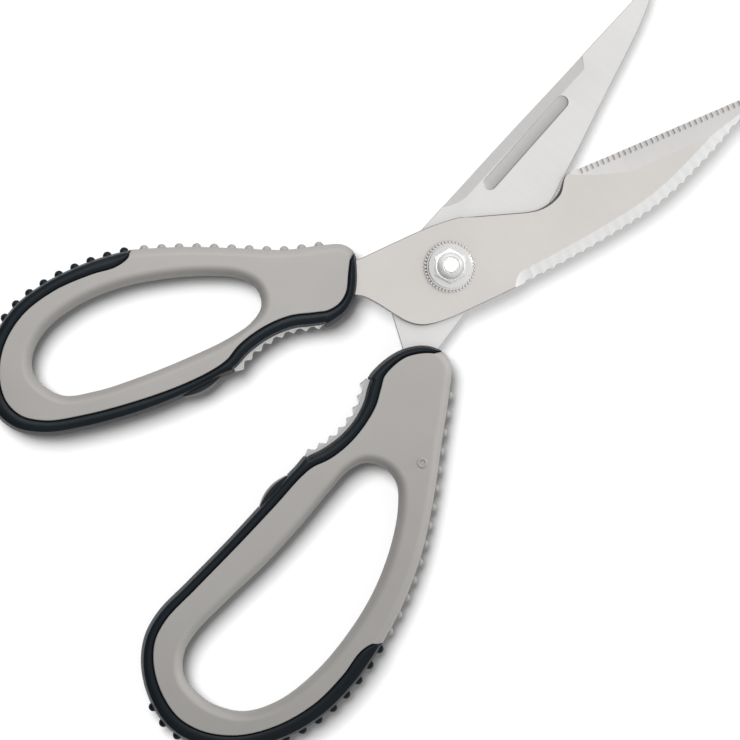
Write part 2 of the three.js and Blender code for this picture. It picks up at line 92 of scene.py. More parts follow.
def turnSense(loop):  # +1 for a loop that runs anticlockwise
    x, y = loop[:, 0], loop[:, 1]
    return 1 if np.sum(x * np.roll(y, -1) - np.roll(x, -1) * y) > 0 else -1


def leftOf(path, closed=False):  # unit vectors to the left of each point of a path
    if closed:
        along = np.roll(path, -1, axis=0) - np.roll(path, 1, axis=0)
    else:
        along = np.gradient(path, axis=0)
    left = np.stack([-along[:, 1], along[:, 0]], axis=1)
    return left / np.linalg.norm(left, axis=1, keepdims=True)


def within(spot, loop):  # whether a point lies inside a closed loop
    (x, y), after = spot, np.roll(loop, -1, axis=0)
    straddles = (loop[:, 1] > y) != (after[:, 1] > y)
    a, b = loop[straddles], after[straddles]
    return np.sum(x < a[:, 0] + (y - a[:, 1]) / (b[:, 1] - a[:, 1]) * (b[:, 0] - a[:, 0])) % 2 == 1


def mitres(loop):  # left of each corner of a closed loop, long enough to keep both sides parallel
    edge = np.roll(loop, -1, axis=0) - loop
    after = np.stack([-edge[:, 1], edge[:, 0]], axis=1) / np.linalg.norm(edge, axis=1, keepdims=True)
    before = np.roll(after, 1, axis=0)
    return (before + after) / (1 + np.sum(before * after, axis=1, keepdims=True))


def runLength(path):
    return np.concatenate([[0], np.cumsum(np.linalg.norm(np.diff(path, axis=0), axis=1))])


def partOf(path, start, stop, count):  # evenly spaced points between two lengths along a path
    run = runLength(path)
    at = np.linspace(start, stop, count)
    return np.stack([np.interp(at, run, path[:, k]) for k in range(path.shape[1])], axis=1)


# meshes

def gridFaces(rows, columns, start=0):  # bands between rings of points
    faces = []
    for r in range(rows - 1):
        here, there = start + r * columns, start + (r + 1) * columns
        for c in range(columns):
            after = (c + 1) % columns
            faces.append((here + c, here + after, there + after, there + c))
    return faces


def closedFaces(rows, columns):  # the same with both end rings filled
    last = (rows - 1) * columns
    return gridFaces(rows, columns) + [tuple(range(columns)), tuple(range(last, last + columns))]


def addMesh(name, points, faces, turn=None, material=None, sharp=softAngle, sides=0, sideMaterial=None):
    mesh = bpy.data.meshes.new(name)
    mesh.from_pydata([Vector(p) * mm for p in points], [], faces)
    for face in mesh.polygons[:sides]:  # the first faces may carry a second material, such as a blade's sides painted dark as shade
        face.material_index = 1
    work = bmesh.new()
    work.from_mesh(mesh)
    bmesh.ops.remove_doubles(work, verts=work.verts, dist=weld * mm)
    bmesh.ops.recalc_face_normals(work, faces=work.faces)
    work.to_mesh(mesh)
    work.free()
    if turn:
        mesh.transform(turn)
    for finish in (material, sideMaterial):
        if finish:
            mesh.materials.append(finish)
    obj = bpy.data.objects.new(name, mesh)
    scene.collection.objects.link(obj)
    smooth(obj, sharp)
    return obj


def smooth(obj, sharp):
    obj.data.shade_smooth()
    obj.data.set_sharp_from_angle(angle=math.radians(sharp))


def addSweep(name, path, across, sections, turn=None, material=None, sharp=softAngle):
    # sections: for each path point a closed list of (distance across, height)
    points = []
    for place, side, section in zip(path, across, sections):
        points += [(*(place[:2] + side * reach), height) for reach, height in section]
    return addMesh(name, points, closedFaces(len(path), len(sections[0])), turn, material, sharp)


def addLathe(name, profile, segments, material=None, sharp=softAngle):  # profile: (radius, height)
    turns = 2 * math.pi * np.arange(segments) / segments
    points = [(r * math.cos(a), r * math.sin(a), height) for r, height in profile for a in turns]
    return addMesh(name, points, gridFaces(len(profile), segments), None, material, sharp)


def addPeg(name, radius, low, high, segments, material=None):
    return addLathe(name, [(0, low), (radius, low), (radius, high), (0, high)], segments, material)


def addPath(name, points, heights, turn, closed=False):  # a poly curve for a row, at one height or several
    data = bpy.data.curves.new(name, "CURVE")
    data.dimensions = "3D"
    line = data.splines.new("POLY")
    line.points.add(len(points) - 1)
    for knot, (x, y), height in zip(line.points, points, np.broadcast_to(heights, len(points))):
        knot.co = (*(turn @ (Vector((x, y, height)) * mm)), 1)
    line.use_cyclic_u = closed
    obj = bpy.data.objects.new(name, data)
    scene.collection.objects.link(obj)
    return obj


def plainMesh(obj):  # the evaluated shape as a plain mesh, modifiers gone
    bpy.context.view_layer.update()
    graph = bpy.context.evaluated_depsgraph_get()
    obj.data = bpy.data.meshes.new_from_object(obj.evaluated_get(graph), depsgraph=graph)
    obj.modifiers.clear()
    return obj


def cutAway(obj, *cutters, keep="DIFFERENCE", sharp=softAngle):
    for cutter in cutters:
        tool = obj.modifiers.new(cutter.name, "BOOLEAN")
        tool.object, tool.operation = cutter, keep
        tool.solver, tool.material_mode = "EXACT", "TRANSFER"
    plainMesh(obj)
    for cutter in cutters:
        bpy.data.objects.remove(cutter)
    smooth(obj, sharp)
    return obj


def addNode(tree, kind, wires={}, **settings):  # wires: for each input a value or another node's output
    node = tree.nodes.new(kind)
    for key, value in settings.items():
        setattr(node, key, value)
    for key, value in wires.items():
        if isinstance(value, bpy.types.NodeSocket):
            tree.links.new(value, node.inputs[key])
        else:
            node.inputs[key].default_value = value
    return node


def rowTree(name, cut):  # a row of one item along a path, added to the piece or cut out of it
    tree = bpy.data.node_groups.new(name, "GeometryNodeTree")
    for label, kind in (("Geometry", "Geometry"), ("Path", "Object"), ("Item", "Object"),
                        ("Count", "Int"), ("Finish", "Material")):
        tree.interface.new_socket(label, in_out="INPUT", socket_type="NodeSocket" + kind)
    tree.interface.new_socket("Geometry", in_out="OUTPUT", socket_type="NodeSocketGeometry")
    given = addNode(tree, "NodeGroupInput").outputs
    path, item = (addNode(tree, "GeometryNodeObjectInfo", {"Object": given[label]}).outputs["Geometry"]
                  for label in ("Path", "Item"))
    spaced = {"Curve": path, "Count": given["Count"]}
    spaced = addNode(tree, "GeometryNodeResampleCurve", spaced, mode="COUNT")
    tangent = addNode(tree, "GeometryNodeInputTangent").outputs["Tangent"]
    heading = addNode(tree, "FunctionNodeAlignRotationToVector", {"Vector": tangent},
                      axis="X", pivot_axis="Z")
    row = addNode(tree, "GeometryNodeInstanceOnPoints", {
        "Points": spaced.outputs["Curve"], "Instance": item, "Rotation": heading.outputs["Rotation"]})
    row, picked = row.outputs["Instances"], {}
    if cut:
        cutters = addNode(tree, "GeometryNodeRealizeInstances", {"Geometry": row}).outputs["Geometry"]
        # faces that come from the cutters are marked
        uncut, cutters = (addNode(tree, "GeometryNodeStoreNamedAttribute", {
            "Geometry": source, "Name": "ground", "Value": mark}, data_type="BOOLEAN", domain="FACE")
            for source, mark in ((given["Geometry"], False), (cutters, True)))
        bite = addNode(tree, "GeometryNodeMeshBoolean", {
            "Mesh 1": uncut.outputs["Geometry"], "Mesh 2": cutters.outputs["Geometry"],
            "Self Intersection": True}, operation="DIFFERENCE", solver="EXACT")
        whole = bite.outputs["Mesh"]
        ground = addNode(tree, "GeometryNodeInputNamedAttribute", {"Name": "ground"}, data_type="BOOLEAN")
        picked["Selection"] = ground.outputs["Attribute"]
    else:
        both = addNode(tree, "GeometryNodeJoinGeometry", {"Geometry": row})
        tree.links.new(given["Geometry"], both.inputs["Geometry"])
        whole = both.outputs["Geometry"]
    real = addNode(tree, "GeometryNodeRealizeInstances", {"Geometry": whole})
    finish = addNode(tree, "GeometryNodeSetMaterial", {
        "Geometry": real.outputs["Geometry"], "Material": given["Finish"], **picked})
    addNode(tree, "NodeGroupOutput", {"Geometry": finish.outputs["Geometry"]})
    return tree


rowAdded = rowTree("rowAdded", cut=False)
rowCut = rowTree("rowCut", cut=True)


def placeRow(obj, tree, path, item, count, finish, sharp=softAngle):
    row = obj.modifiers.new(tree.name, "NODES")
    row.node_group = tree
    values = {"Path": path, "Item": item, "Count": count, "Finish": finish}
    for socket in tree.interface.items_tree:
        if socket.in_out == "INPUT" and socket.name in values:
            row[socket.identifier] = values[socket.name]
    plainMesh(obj)
    for helper in (path, item):
        bpy.data.objects.remove(helper)
    smooth(obj, sharp)
    return obj


# finishes

def shaderGroup(name, scaleName, patterns):
    group = bpy.data.node_groups.new(name, "ShaderNodeTree")
    group.interface.new_socket("Vector", in_out="INPUT", socket_type="NodeSocketVector")
    group.interface.new_socket(scaleName, in_out="INPUT", socket_type="NodeSocketFloat").default_value = 1
    for label in patterns:
        group.interface.new_socket(label, in_out="OUTPUT", socket_type="NodeSocketFloat")
    return group, addNode(group, "NodeGroupInput").outputs


def combine(tree, operation, a, b):
    return addNode(tree, "ShaderNodeMath", {0: a, 1: b}, operation=operation).outputs["Value"]


def scaled(tree, vector, scale):
    node = addNode(tree, "ShaderNodeVectorMath", {"Vector": vector, "Scale": scale}, operation="SCALE")
    return node.outputs["Vector"]


def noise(tree, vector, scale, detail, roughness=0.5):
    return addNode(tree, "ShaderNodeTexNoise", {
        "Vector": vector, "Scale": scale, "Detail": detail, "Roughness": roughness}).outputs["Fac"]


def grindGroup():  # grinding lines along X and cloudy patches, for every steel
    group, given = shaderGroup("grindLines", "Line Scale", ("Lines", "Clouds"))
    drawnOut = addNode(group, "ShaderNodeMapping", {"Vector": given["Vector"], "Scale": (0.02, 1, 1)})
    place = scaled(group, drawnOut.outputs["Vector"], given["Line Scale"])
    fine = combine(group, "MULTIPLY", noise(group, place, scale=2600, detail=4, roughness=0.6), 0.65)
    coarse = combine(group, "MULTIPLY", noise(group, place, scale=700, detail=2), 0.35)
    addNode(group, "NodeGroupOutput", {
        "Lines": combine(group, "ADD", fine, coarse),
        "Clouds": noise(group, given["Vector"], scale=55, detail=3)})
    return group


def grainGroup():  # spark-eroded mould grain and slow tone drift, for plastic and rubber
    group, given = shaderGroup("mouldGrain", "Grain Scale", ("Grain", "Drift"))
    place = scaled(group, given["Vector"], given["Grain Scale"])
    addNode(group, "NodeGroupOutput", {
        "Grain": noise(group, place, scale=2400, detail=3, roughness=0.55),
        "Drift": noise(group, given["Vector"], scale=40, detail=3)})
    return group


grindLines = grindGroup()
mouldGrain = grainGroup()


def startMaterial(name, group, turn, scaleName, scale):
    material = bpy.data.materials.new(name)
    material.use_nodes = True
    tree = material.node_tree
    place = addNode(tree, "ShaderNodeTexCoord").outputs["Object"]
    turned = addNode(tree, "ShaderNodeMapping", {"Vector": place, "Rotation": (0, 0, math.radians(turn))})
    effect = addNode(tree, "ShaderNodeGroup", node_tree=group)
    effect.inputs[scaleName].default_value = scale
    tree.links.new(turned.outputs["Vector"], effect.inputs["Vector"])
    return material, tree, effect.outputs


def dress(tree, look, tone, sheen, height):  # colour, roughness and bump, each from a pattern about 0.5
    ramp = addNode(tree, "ShaderNodeValToRGB", {"Fac": tone})
    for stop, position, colour in zip(ramp.color_ramp.elements, (0.3, 0.7), (look["dark"], look["light"])):
        stop.position, stop.color = position, (*colour, 1)
    low, high = look["roughness"]
    rough = addNode(tree, "ShaderNodeMapRange", {
        "Value": sheen, "From Min": 0.25, "From Max": 0.75, "To Min": low, "To Max": high})
    bump = addNode(tree, "ShaderNodeBump", {
        "Strength": look["bump"], "Distance": look["bumpDepth"], "Height": height})
    shader = tree.nodes["Principled BSDF"]
    tree.links.new(ramp.outputs["Color"], shader.inputs["Base Color"])
    tree.links.new(rough.outputs["Result"], shader.inputs["Roughness"])
    tree.links.new(bump.outputs["Normal"], shader.inputs["Normal"])
    return shader


steelLook = {"turn": 0, "lineScale": 1.0, "mix": (0.6, 0.4), "metallic": 1, "bump": 0.3, "bumpDepth": 0.00003}
plasticLook = {"grainScale": 1.0, "bumpDepth": 0.00005}


def steel(name, **changes):
    look = {**steelLook, **changes}
    material, tree, effect = startMaterial(name, grindLines, look["turn"], "Line Scale", look["lineScale"])
    lines, clouds = (combine(tree, "MULTIPLY", effect[label], share)
                     for label, share in zip(("Lines", "Clouds"), look["mix"]))
    blend = combine(tree, "ADD", lines, clouds)
    shader = dress(tree, look, blend, blend, effect["Lines"])
    shader.inputs["Metallic"].default_value = look["metallic"]
    return material


def moulded(name, **changes):
    look = {**plasticLook, **changes}
    material, tree, effect = startMaterial(name, mouldGrain, 0, "Grain Scale", look["grainScale"])
    shader = dress(tree, look, effect["Drift"], effect["Grain"], effect["Grain"])
    shader.inputs["Specular IOR Level"].default_value = look["specular"]
    return material


frontGrind, rearGrind = 90 + restOpening / 2, 90 - restOpening / 2  # grinding lines run across each blade
frontSteel = steel("frontSteel", turn=frontGrind, mix=(0.4, 0.6), dark=(0.715, 0.69, 0.665),
                   light=(0.79, 0.765, 0.735), roughness=(0.34, 0.44), bump=0.25, bumpDepth=0.00002)
rearSteel = steel("rearSteel", turn=rearGrind, mix=(0.5, 0.5), dark=(0.81, 0.80, 0.785),
                  light=(0.88, 0.875, 0.865), roughness=(0.32, 0.42), bump=0.25, bumpDepth=0.00002)
hollowSteel = steel("hollowSteel", turn=frontGrind, dark=(0.785, 0.765, 0.75),  # grind of the serrated edge
                    light=(0.865, 0.845, 0.83), roughness=(0.36, 0.46), bump=0.25, bumpDepth=0.00002)
groundSteel = steel("groundSteel", turn=frontGrind, dark=(0.74, 0.735, 0.73),  # bright scoops of the scaler
                    light=(0.82, 0.815, 0.81), roughness=(0.36, 0.48), bumpDepth=0.00002)
duskySteel = steel("duskySteel", turn=rearGrind, dark=(0.70, 0.685, 0.675),  # rougher strip along the spine
                   light=(0.78, 0.765, 0.755), roughness=(0.42, 0.55), bump=0.35)
fullerSteel = steel("fullerSteel", turn=rearGrind, dark=(0.61, 0.60, 0.595),  # matt floor of the blind groove, painted darker as the shade in it
                    light=(0.68, 0.67, 0.665), roughness=(0.55, 0.68), bump=0.35)
# gullets of the serrations, painted darker as the shade in the grooves
gulletSteel = steel("gulletSteel", turn=restOpening / 2, lineScale=1.2, dark=(0.66, 0.65, 0.645),
                    light=(0.74, 0.73, 0.725), roughness=(0.42, 0.55))
wallSteel = steel("wallSteel", lineScale=1.2, mix=(0.5, 0.5), dark=(0.30, 0.29, 0.285),  # blanked sides and chamfers, painted dark as shade along the contours
                  light=(0.38, 0.37, 0.365), roughness=(0.38, 0.5))
notchSteel = steel("notchSteel", lineScale=1.2, mix=(0.5, 0.5), dark=(0.15, 0.145, 0.14),  # painted dark as the shade in the gap between the blades
                   light=(0.21, 0.205, 0.20), roughness=(0.38, 0.5))
pivotSteel = steel("pivotSteel", lineScale=0.6, mix=(0.3, 0.7), dark=(0.75, 0.745, 0.735),
                   light=(0.83, 0.825, 0.815), roughness=(0.26, 0.36), bump=0.08, bumpDepth=0.00002)
nutSteel = steel("nutSteel", lineScale=0.6, mix=(0.3, 0.7), dark=(0.52, 0.52, 0.515), metallic=0.5,  # plated
                 light=(0.58, 0.58, 0.575), roughness=(0.42, 0.50), bump=0.06, bumpDepth=0.00002)
jawSteel = steel("jawSteel", lineScale=0.8, mix=(0.3, 0.7), dark=(0.60, 0.595, 0.59),
                 light=(0.70, 0.695, 0.69), roughness=(0.36, 0.5), bumpDepth=0.00004)
greyPlastic = moulded("greyPlastic", specular=0.35, dark=(0.23, 0.221, 0.211), light=(0.25, 0.241, 0.231),
                      roughness=(0.52, 0.68), bump=0.22)
blackRubber = moulded("blackRubber", grainScale=0.8, specular=0.12, dark=(0.0023, 0.0047, 0.007),
                      light=(0.0042, 0.0074, 0.0102), roughness=(0.38, 0.52), bump=0.2)
padGloss = moulded("padGloss", grainScale=0.5, specular=0.25, dark=(0.002, 0.003, 0.004),
                   light=(0.004, 0.005, 0.006), roughness=(0.22, 0.30), bump=0.05)
print("finishes ready")


# handles: a grey core, black edging round part of it, grip nubs on the outer side

handleLevels = levels("upper_handle_core")
handleMiddle = sum(handleLevels) / 2
handleForm = {
    "sideBulge": 2.6, "sideDrop": 5.0,      # rounding of the bare outer sides, across and down
    "edgeRound": 0.35, "sideDraft": 0.85,   # tight round and drafted side of the edging
    "crown": 0.45, "crownPeak": 0.45,       # fall of its gently crowned top, and where across it the top is
    "tipSpan": 0.4, "leastWidth": 0.1,      # its front end, which runs out to a point
    "lipRise": 0.6, "lipRun": 5.0,          # pointed ridge of the edging at each end of the jaw
    "holeBulge": 2.6, "holeDrop": 5.0,      # rounding of the finger holes
    "seam": 0.15, "seamRound": 0.3,         # groove between core and edging
    "support": 0.12, "fold": 0.15,          # flat ring beside each rounding, and how far a ring may be off
    "perSpan": 10, "roundSteps": 8, "edgingSharp": 50,
    "nubRadius": 1.3, "nubProud": 1.21, "nubSegments": 16, "nubRings": 10,
}
upperHandle = {
    "outline": [  # x, y and edging width, from the edging's front tip along the inner side and home outside
        (-21.2, 16.6, 1.4), (-23.1, 11.2, 2.7), (-27.0, 5.6, 2.9), (-31.3, 2.8, 3.3), (-36.5, 2.3, 3.6),
        (-41.0, 3.7, 3.8), (-47.0, 6.1, 3.8), (-54.0, 6.9, 3.7), (-61.0, 6.0, 3.7), (-66.0, 4.4, 3.4),
        (-72.0, 4.3, 2.8), (-82.0, 4.6, 3.1), (-95.0, 6.3, 3.6), (-110.0, 9.9, 3.8), (-121.4, 14.2, 3.9),
        (-128.3, 19.9, 4.3), (-130.8, 27.5, 4.5), (-128.6, 36.1, 4.3), (-122.0, 44.3, 3.9),
        (-112.0, 49.9, 3.7), (-100.0, 51.7, 3.6), (-88.0, 50.9, 3.9), (-80.5, 49.4, 4.0), (-76.6, 48.3, 2.4),
        (-75.0, 47.7, 0), (-62.0, 41.3, 0), (-50.0, 34.2, 0), (-38.0, 26.9, 0), (-28.0, 22.8, 0),
        (-23.0, 20.2, 0)],
    "hole": [
        (-116.0, 30.2), (-113.9, 35.4), (-107.5, 39.8), (-96.5, 41.7), (-84.0, 40.4), (-72.0, 36.7),
        (-60.0, 31.1), (-52.7, 26.0), (-50.0, 21.2), (-51.2, 16.4), (-55.8, 13.7), (-64.0, 12.9),
        (-76.0, 13.7), (-90.0, 15.5), (-103.0, 18.1), (-112.1, 21.9)],
    "edgingEnd": 24, "jawSpan": (4.4, 9.1), "toothSink": (1.5, 0.4), "stopClearance": 4.1,
    "backNubs": (16.92, 22.85, 13), "frontNubs": (24.3, 27.87, 11),  # start, end and number of each row
}
lowerHandle = {
    "outline": [
        (-20.2, -12.2, 1.4), (-21.8, -7.3, 2.3), (-26.2, -3.0, 2.5), (-31.0, -0.8, 2.9), (-36.2, 0.1, 3.4),
        (-40.5, -0.9, 3.8), (-45.0, -2.6, 3.7), (-50.5, -3.4, 3.4), (-56.0, -2.9, 3.5), (-61.5, -1.2, 3.7),
        (-66.5, 1.2, 3.5), (-71.5, 2.2, 3.2), (-82.0, 3.3, 3.2), (-98.0, 5.1, 3.0), (-114.0, 7.4, 3.0),
        (-126.0, 9.1, 3.1), (-133.8, 8.0, 3.2), (-141.0, 3.8, 3.6), (-147.2, -3.8, 4.0), (-150.4, -12.8, 4.3),
        (-149.2, -22.5, 4.4), (-143.5, -32.3, 4.4), (-134.0, -40.2, 4.4), (-122.0, -45.5, 4.4),
        (-110.0, -47.4, 4.4), (-101.5, -47.4, 4.3), (-97.6, -47.1, 2.6), (-95.9, -46.8, 0), (-85.0, -45.3, 0),
        (-70.3, -41.3, 0), (-55.6, -34.9, 0), (-40.9, -27.2, 0), (-28.0, -20.5, 0), (-21.8, -16.6, 0)],
    "hole": [
        (-137.8, -14.6), (-136.1, -7.8), (-131.5, -4.0), (-125.3, -2.9), (-112.0, -4.7), (-98.0, -7.3),
        (-84.0, -9.0), (-70.0, -9.9), (-62.4, -10.9), (-58.0, -13.6), (-56.2, -18.6), (-57.5, -23.6),
        (-62.8, -28.1), (-73.0, -32.9), (-86.0, -36.4), (-100.0, -37.5), (-114.0, -36.4), (-126.1, -32.8),
        (-133.8, -27.2), (-137.1, -20.6)],
    "edgingEnd": 27, "jawSpan": (4.6, 10.0), "toothSink": (-0.1, 0.5), "stopClearance": 6.7,
    "backNubs": (18.22, 25.87, 16), "frontNubs": (27.42, 31.93, 14),
}


def outlineOf(plan):  # the outline, the way in from it, the edging's width at each point and where it lies
    loop = closedCurve(plan["outline"], handleForm["perSpan"])
    position = np.arange(len(loop)) / handleForm["perSpan"]
    inBand = position < plan["edgingEnd"]
    tip = np.sqrt(np.clip(position / handleForm["tipSpan"], 0.01, 1))
    widths = np.maximum(np.maximum(loop[:, 2], 0) * tip, handleForm["leastWidth"])
    loop = loop[:, :2]
    return loop, leftOf(loop, True) * turnSense(loop), np.where(inBand, widths, 0), inBand


def samplesAt(positions):  # numbers of the outline's samples at places between its points
    return [round(p * handleForm["perSpan"]) for p in positions]


def rimRings(loop, inward, base, bulge, drop):
    # rings of a rounded rim from its flat support ring on top, down the side, to the one beneath
    low, high = handleLevels
    form = handleForm
    base = np.broadcast_to(base, len(loop))
    reach = np.maximum(bulge, base + form["seamRound"])
    bare = np.clip(1 - base / bulge, 0, 1) ** 2
    fall = form["seamRound"] + (drop - form["seamRound"]) * bare
    angles = np.linspace(0, math.pi / 2, form["roundSteps"] + 1)
    insets = [reach + form["support"]] + [reach - (reach - base) * math.sin(a) for a in angles]
    falls = [0 * fall] + [fall * (1 - math.cos(a)) for a in angles]
    rings = [settled(loop + inward * inset[:, None], loop, inset) for inset in insets]
    top = [np.column_stack([ring, high - f]) for ring, f in zip(rings, falls)]
    bottom = [np.column_stack([ring, low + f]) for ring, f in zip(rings, falls)]
    return top + bottom[::-1]


def settled(ring, rim, inset):  # where a ring would fold over, its points gather on the nearest sound one
    gaps = np.linalg.norm(ring[:, None] - rim[None], axis=2).min(axis=1)
    sound = np.flatnonzero(gaps > inset - handleForm["fold"])
    apart = np.abs(np.arange(len(ring))[:, None] - sound[None])
    apart = np.minimum(apart, len(ring) - apart)
    return ring[sound[np.argmin(apart, axis=1)]]


def buildCore(name, plan, turn):
    form = handleForm
    loop, inward, widths, inBand = outlineOf(plan)
    hole = closedCurve(plan["hole"], form["perSpan"])
    base = np.where(inBand, widths + form["seam"], 0)
    outer = rimRings(loop, inward, base, form["sideBulge"], form["sideDrop"])
    web = np.linalg.norm(hole[:, None] - outer[0][None, :, :2], axis=2).min(axis=1)
    bulge = np.minimum(form["holeBulge"], web - 4 * form["support"])  # narrower where the web is thin
    inner = rimRings(hole, -leftOf(hole, True) * turnSense(hole), 0.0, bulge, form["holeDrop"])
    points = np.vstack(outer + inner)
    start = len(outer) * len(loop)
    faces = gridFaces(len(outer), len(loop)) + gridFaces(len(inner), len(hole), start)
    for outerRow, innerRow in ((0, 0), (len(outer) - 1, len(inner) - 1)):  # flat top and underside
        rims = (outer[outerRow], outerRow * len(loop)), (inner[innerRow], start + innerRow * len(hole))
        flat, edges, index = [], [], []
        for rim, first in rims:
            fresh = np.flatnonzero(np.linalg.norm(rim - np.roll(rim, 1, axis=0), axis=1) > 2 * weld)
            edges += [(len(flat) + k, len(flat) + (k + 1) % len(fresh)) for k in range(len(fresh))]
            flat += [Vector(rim[k][:2]) for k in fresh]
            index += [first + k for k in fresh]
        spots, _, tris, source, _, _ = delaunay_2d_cdt(flat, edges, [], 1, 0.0001)
        for tri in tris:
            if not within(sum((spots[k] for k in tri), Vector((0, 0))) / 3, inner[innerRow][:, :2]):
                faces.append(tuple(index[source[k][0]] for k in tri))
    return addMesh(name, points, faces, turn, greyPlastic)


def edgingSection(width):  # crowned top, tight round, then a drafted side that is widest at the middle
    form = handleForm
    bare = max(1 - (width + form["seam"]) / form["sideBulge"], 0) ** 2
    sunk = (form["sideDrop"] - form["seamRound"]) * bare  # its narrow ends fall with the core's rounding
    low, high = handleLevels[0] + sunk, handleLevels[1] - sunk
    seam, tight = min(form["seamRound"], width / 4), min(form["edgeRound"], width / 4)
    lean, crown, peak = min(form["sideDraft"], width / 2), min(form["crown"], width / 6), form["crownPeak"]
    start, stop, shoulder = width - seam, lean + tight, crown + tight
    half = [(width, seam + crown)]
    for share in np.linspace(0, 1, 9)[:-1]:
        half.append((start + (stop - start) * share, crown * ((share - peak) / (1 - peak)) ** 2))
    for angle in np.linspace(0, math.pi / 2, 5):
        half.append((lean + tight * (1 - math.sin(angle)), crown + tight * (1 - math.cos(angle))))
    for angle in np.linspace(0, math.pi / 2, 7)[1:]:
        down = ((high - low) / 2 - shoulder) * angle * 2 / math.pi
        half.append((lean * (1 - math.sin(angle)), shoulder + down))
    return [(i, high - f) for i, f in half] + [(i, low + f) for i, f in reversed(half)]


def jawLips(plan, loop):  # how far the edging stands out beside the ends of the jaw
    run = runLength(loop)
    first, last = run[samplesAt(plan["jawSpan"])]
    away = np.where(run < first, first - run, run - last)
    share = np.clip(1 - away / handleForm["lipRun"], 0, 1)
    return handleForm["lipRise"] * np.where((run >= first) & (run <= last), 0, share ** 2)


def buildEdging(name, plan, turn):
    loop, inward, widths, inBand = outlineOf(plan)
    lips = jawLips(plan, loop)
    path = (loop - inward * lips[:, None])[inBand]
    sections = [edgingSection(w) for w in (widths + lips)[inBand]]
    return addSweep(name, path, inward[inBand], sections, turn, blackRubber, handleForm["edgingSharp"])


def nubRow(obj, plan, turn, row, finish):
    loop, inward = outlineOf(plan)[:2]
    line = loop + inward * (handleForm["nubRadius"] - handleForm["nubProud"])
    first, last = samplesAt(plan[row][:2])
    path = addPath(obj.name + "Path", line[first:last + 1], handleMiddle, turn)
    nub = bpy.data.objects.new("nub", bpy.data.meshes.new("nub"))
    scene.collection.objects.link(nub)
    ball = bmesh.new()
    bmesh.ops.create_uvsphere(ball, u_segments=handleForm["nubSegments"], v_segments=handleForm["nubRings"],
                              radius=handleForm["nubRadius"] * mm)
    ball.to_mesh(nub.data)
    ball.free()
    return placeRow(obj, rowAdded, path, nub, plan[row][2], finish)


upperCore = buildCore("upperHandleCore", upperHandle, frontTurn)
lowerCore = buildCore("lowerHandleCore", lowerHandle, rearTurn)
upperEdging = buildEdging("upperHandleEdging", upperHandle, frontTurn)
lowerEdging = buildEdging("lowerHandleEdging", lowerHandle, rearTurn)
witness = {"centre": (-49.0, -26.0), "radius": 1.1, "half": 0.4, "rise": 0.35}  # mark of a mould's core pin
hoop = [(witness["radius"] + witness["half"] * math.cos(a), handleLevels[1] + witness["rise"] * math.sin(a))
        for a in np.linspace(0, 2 * math.pi, 13)]
hoop = addLathe("witness", hoop, segments=32, material=greyPlastic)
hoop.data.transform(rearTurn @ Matrix.Translation(Vector((*witness["centre"], 0)) * mm))
cutAway(lowerCore, hoop, keep="UNION")
print("handles formed")


# nut-cracking jaws and stop pads, set into the edging

jawForm = {
    "teeth": 8, "toothHeight": 1.9, "toothRoot": 0.75, "tipRound": 0.5, "chamfer": 0.35,
    "foot": 0.4, "flank": ((0.46, 0), (0.2, 0.62)),  # depth of its foot, and shares of pitch and reach
    "seatDepth": 1.3, "width": 6.0, "slack": 0.2, "barChamfer": 0.15,
    "barSink": 0.8, "clear": 0.05,  # the bar's share of a tooth's sinking, and the gap to its faces
}
padForm = {
    "length": 11.5, "height": 1.4, "seatDepth": 1.0, "width": 7.0, "slack": 0.2,
    "draft": 0.35, "edgeFall": 0.2, "steps": 24, "sharp": 50,
}
pocketReach = 4  # how far a pocket's cutter stands out


def barSection(depth, reach, half, chamfer=0.0):
    low, high = handleMiddle - half, handleMiddle + half
    return [(-depth, low), (reach - chamfer, low), (reach, low + chamfer),
            (reach, high - chamfer), (reach - chamfer, high), (-depth, high)]


def sinkPocket(edging, form, path, side, turn):  # room for a strip or pad, with slack all round
    room = barSection(form["seatDepth"] + form["slack"], pocketReach, form["width"] / 2 + form["slack"])
    cutAway(edging, addSweep(edging.name + "Pocket", path, side, [room] * len(path), turn, blackRubber))


def buildJaw(name, plan, turn, edging):
    form = jawForm
    loop, inward = outlineOf(plan)[:2]
    first, last = samplesAt(plan["jawSpan"])
    path, side = loop[first:last + 1], -inward[first:last + 1]
    run = runLength(path)
    ends = np.vstack([path[0] - (path[1] - path[0]) / run[1] * form["slack"], path[1:-1],
                      path[-1] + (path[-1] - path[-2]) / (run[-1] - run[-2]) * form["slack"]])
    sinkPocket(edging, form, ends, side, turn)
    sink = np.interp(run, [0, run[-1]], plan["toothSink"])
    sections = [barSection(form["seatDepth"], form["toothRoot"] - s * form["barSink"], form["width"] / 2,
                           form["barChamfer"]) for s in sink]
    bar = addSweep(name, path, side, sections, turn, jawSteel)
    pitch = run[-1] / form["teeth"]
    row = partOf(path + side * (form["toothRoot"] - sink)[:, None], pitch / 2, run[-1] - pitch / 2, 60)
    if turnSense(loop) > 0:  # outward to the left of the row
        row = row[::-1]
    row = addPath(name + "Row", row, handleMiddle, turn)
    return placeRow(bar, rowAdded, row, buildTooth(pitch), form["teeth"], jawSteel)


def buildTooth(pitch):  # a rounded triangular ridge across the strip, chamfered at both ends
    form = jawForm
    reach, foot = form["toothHeight"] - form["toothRoot"], form["foot"]
    flank = openCurve([(-pitch * 0.5, -foot), *((-pitch * x, reach * y) for x, y in form["flank"]),
                       (-form["tipRound"] * 0.5, reach * 0.96), (0, reach)], spacing=0.15)
    outline = np.vstack([flank, (flank * (-1, 1))[::-1][1:]])
    half, chamfer = form["width"] / 2 - form["clear"], form["chamfer"]
    rings = [(1 - chamfer / 2, -half), (1, -half + chamfer), (1, half - chamfer), (1 - chamfer / 2, half)]
    points = [(x * shrink, (y + foot) * shrink - foot, z) for shrink, z in rings for x, y in outline]
    return addMesh("jawTooth", points, closedFaces(len(rings), len(outline)))


